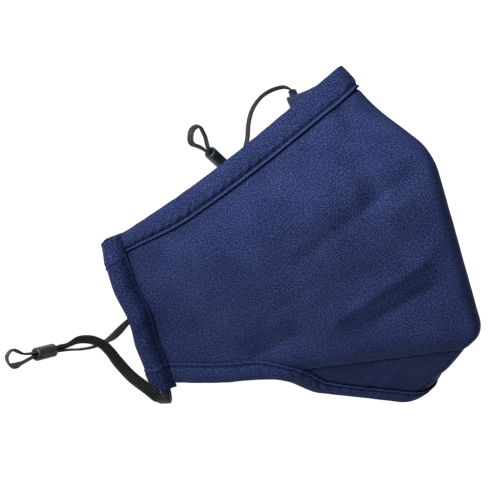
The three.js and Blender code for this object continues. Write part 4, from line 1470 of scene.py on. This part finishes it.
@dataclass
class Studio:
    """The light table, soft lights and the camera at the photograph's angle."""

    azimuth: float = 57.013
    elevation: float = 40.481
    roll: float = 95.957
    distance: float = 1257.6
    pixels_per_mm: float = 2.3454
    image_size: float = 500.0
    sensor: float = 36.0
    origin_pixel: tuple[float, float] = (201.253, 167.562)
    key_direction: tuple[float, float, float] = (0.60, -0.76, 0.25)
    key_distance: float = 0.55
    key_energy: float = 3.3
    key_size: float = 0.25
    back_direction: tuple[float, float, float] = (-0.75, 0.60, 0.24)
    back_energy: float = 11.0
    back_size: float = 0.6
    back_distance: float = 1.5
    sky_strength: float = 0.1
    floor_half: float = 3.0
    floor_level: float = -0.0002

    def camera_axes(self) -> tuple[Array, Array, Array]:
        """The camera's right, up and backward directions, after its roll."""
        a, e, r = (math.radians(v) for v in (self.azimuth, self.elevation, self.roll))
        back = np.array([math.sin(a) * math.cos(e), -math.cos(a) * math.cos(e), math.sin(e)])
        right0 = np.array([math.cos(a), math.sin(a), 0.0])
        up0 = np.cross(back, right0)
        right = math.cos(r) * right0 + math.sin(r) * up0
        return right, -math.sin(r) * right0 + math.cos(r) * up0, back

    def add_camera(self) -> None:
        """Places the camera, and turns it so that the mask's own origin lands at its pixel."""
        right, up, back = self.camera_axes()
        focal = self.pixels_per_mm * self.distance
        place = (FRAME_SHIFT + back * self.distance) * MM
        half = self.image_size / 2
        forward = unit(-back + right * (half - self.origin_pixel[0]) / focal
                       - up * (half - self.origin_pixel[1]) / focal)
        right = unit(np.cross(forward, up))
        up = np.cross(right, forward)
        data = bpy.data.cameras.new("photo_camera")
        data.sensor_width = self.sensor
        data.lens = focal * self.sensor / self.image_size
        camera = bpy.data.objects.new("photo_camera", data)
        turn = Matrix((right, up, -forward)).transposed().to_4x4()
        camera.matrix_world = Matrix.Translation(Vector(place)) @ turn
        data.clip_end = 20.0
        bpy.context.scene.collection.objects.link(camera)
        bpy.context.scene.camera = camera

    @staticmethod
    def add_light(name: str, direction: tuple[float, float, float], energy: float, size: float,
                  distance: float) -> None:
        """Adds a square soft light that faces the object.

        Args:
            name: its name.
            direction: from the object to the light.
            energy: in watts.
            size: side of the square, m.
            distance: from the object, m.
        """
        data = bpy.data.lights.new(name, "AREA")
        data.energy = energy
        data.size = size
        lamp = bpy.data.objects.new(name, data)
        lamp.location = Vector(unit(np.array(direction)) * distance)
        lamp.rotation_euler = lamp.location.to_track_quat("Z", "Y").to_euler()
        bpy.context.scene.collection.objects.link(lamp)

    def add_floor(self) -> None:
        """Adds the floor, a hair below the CAD model's lowest point."""
        corners = [(x * self.floor_half, y * self.floor_half, self.floor_level)
                   for x, y in ((-1, -1), (1, -1), (1, 1), (-1, 1))]
        mesh = bpy.data.meshes.new("floor")
        mesh.from_pydata(corners, [], [(0, 1, 2, 3)])
        mesh.materials.append(LightTable().build())
        floor = bpy.data.objects.new("floor", mesh)
        bpy.context.scene.collection.objects.link(floor)

    def set_world(self) -> None:
        """An even white sky, and the standard view transform."""
        world = bpy.data.worlds.new("soft_sky")
        world.use_nodes = True
        background = world.node_tree.nodes["Background"]
        background.inputs["Color"].default_value = (1.0, 1.0, 1.0, 1.0)
        background.inputs["Strength"].default_value = self.sky_strength
        bpy.context.scene.world = world
        bpy.context.scene.view_settings.view_transform = "Standard"

    def build(self) -> None:
        """Adds floor, sky and lights."""
        self.add_floor()
        self.set_world()
        self.add_light("key_softbox", self.key_direction, self.key_energy, self.key_size, self.key_distance)
        self.add_light("back_softbox", self.back_direction, self.back_energy, self.back_size,
                       self.back_distance)


def main() -> None:
    """Builds the mask piece by piece: camera and elastic first, then the cloth, then the studio."""
    logging.basicConfig(level=logging.INFO, format="%(name)s: %(message)s")
    studio = Studio()
    studio.add_camera()
    cotton, thread = WovenCotton().build(), SewingThread().build()
    tack_thread = SewingThread("polyester_thread_black_green", "#04080a", "#10191c").build()
    elastic, silicone = BraidedElastic().build(), MattSilicone().build()
    for side in Side:
        lock = CordLock(side, silicone)
        EarLoop(side, elastic, lock).dress(lock.dress())
    for side in Side:
        SideCasing(side, cotton, thread).dress()
        BarTack(side, tack_thread).dress()
    CheekCloth(cotton).dress()
    ChinCloth(cotton).dress()
    hem_limit = 1 - (FORM.casing_width + FORM.casing_gap) / FORM.flank
    Hem(Edge.NOSE, cotton, thread, limit=hem_limit, flattening=0.8).dress()
    Hem(Edge.CHIN, cotton, thread, limit=hem_limit, slot_gap=0.4, flattening=0.9, seed=11).dress()
    studio.build()


if __name__ == "__main__":
    main()
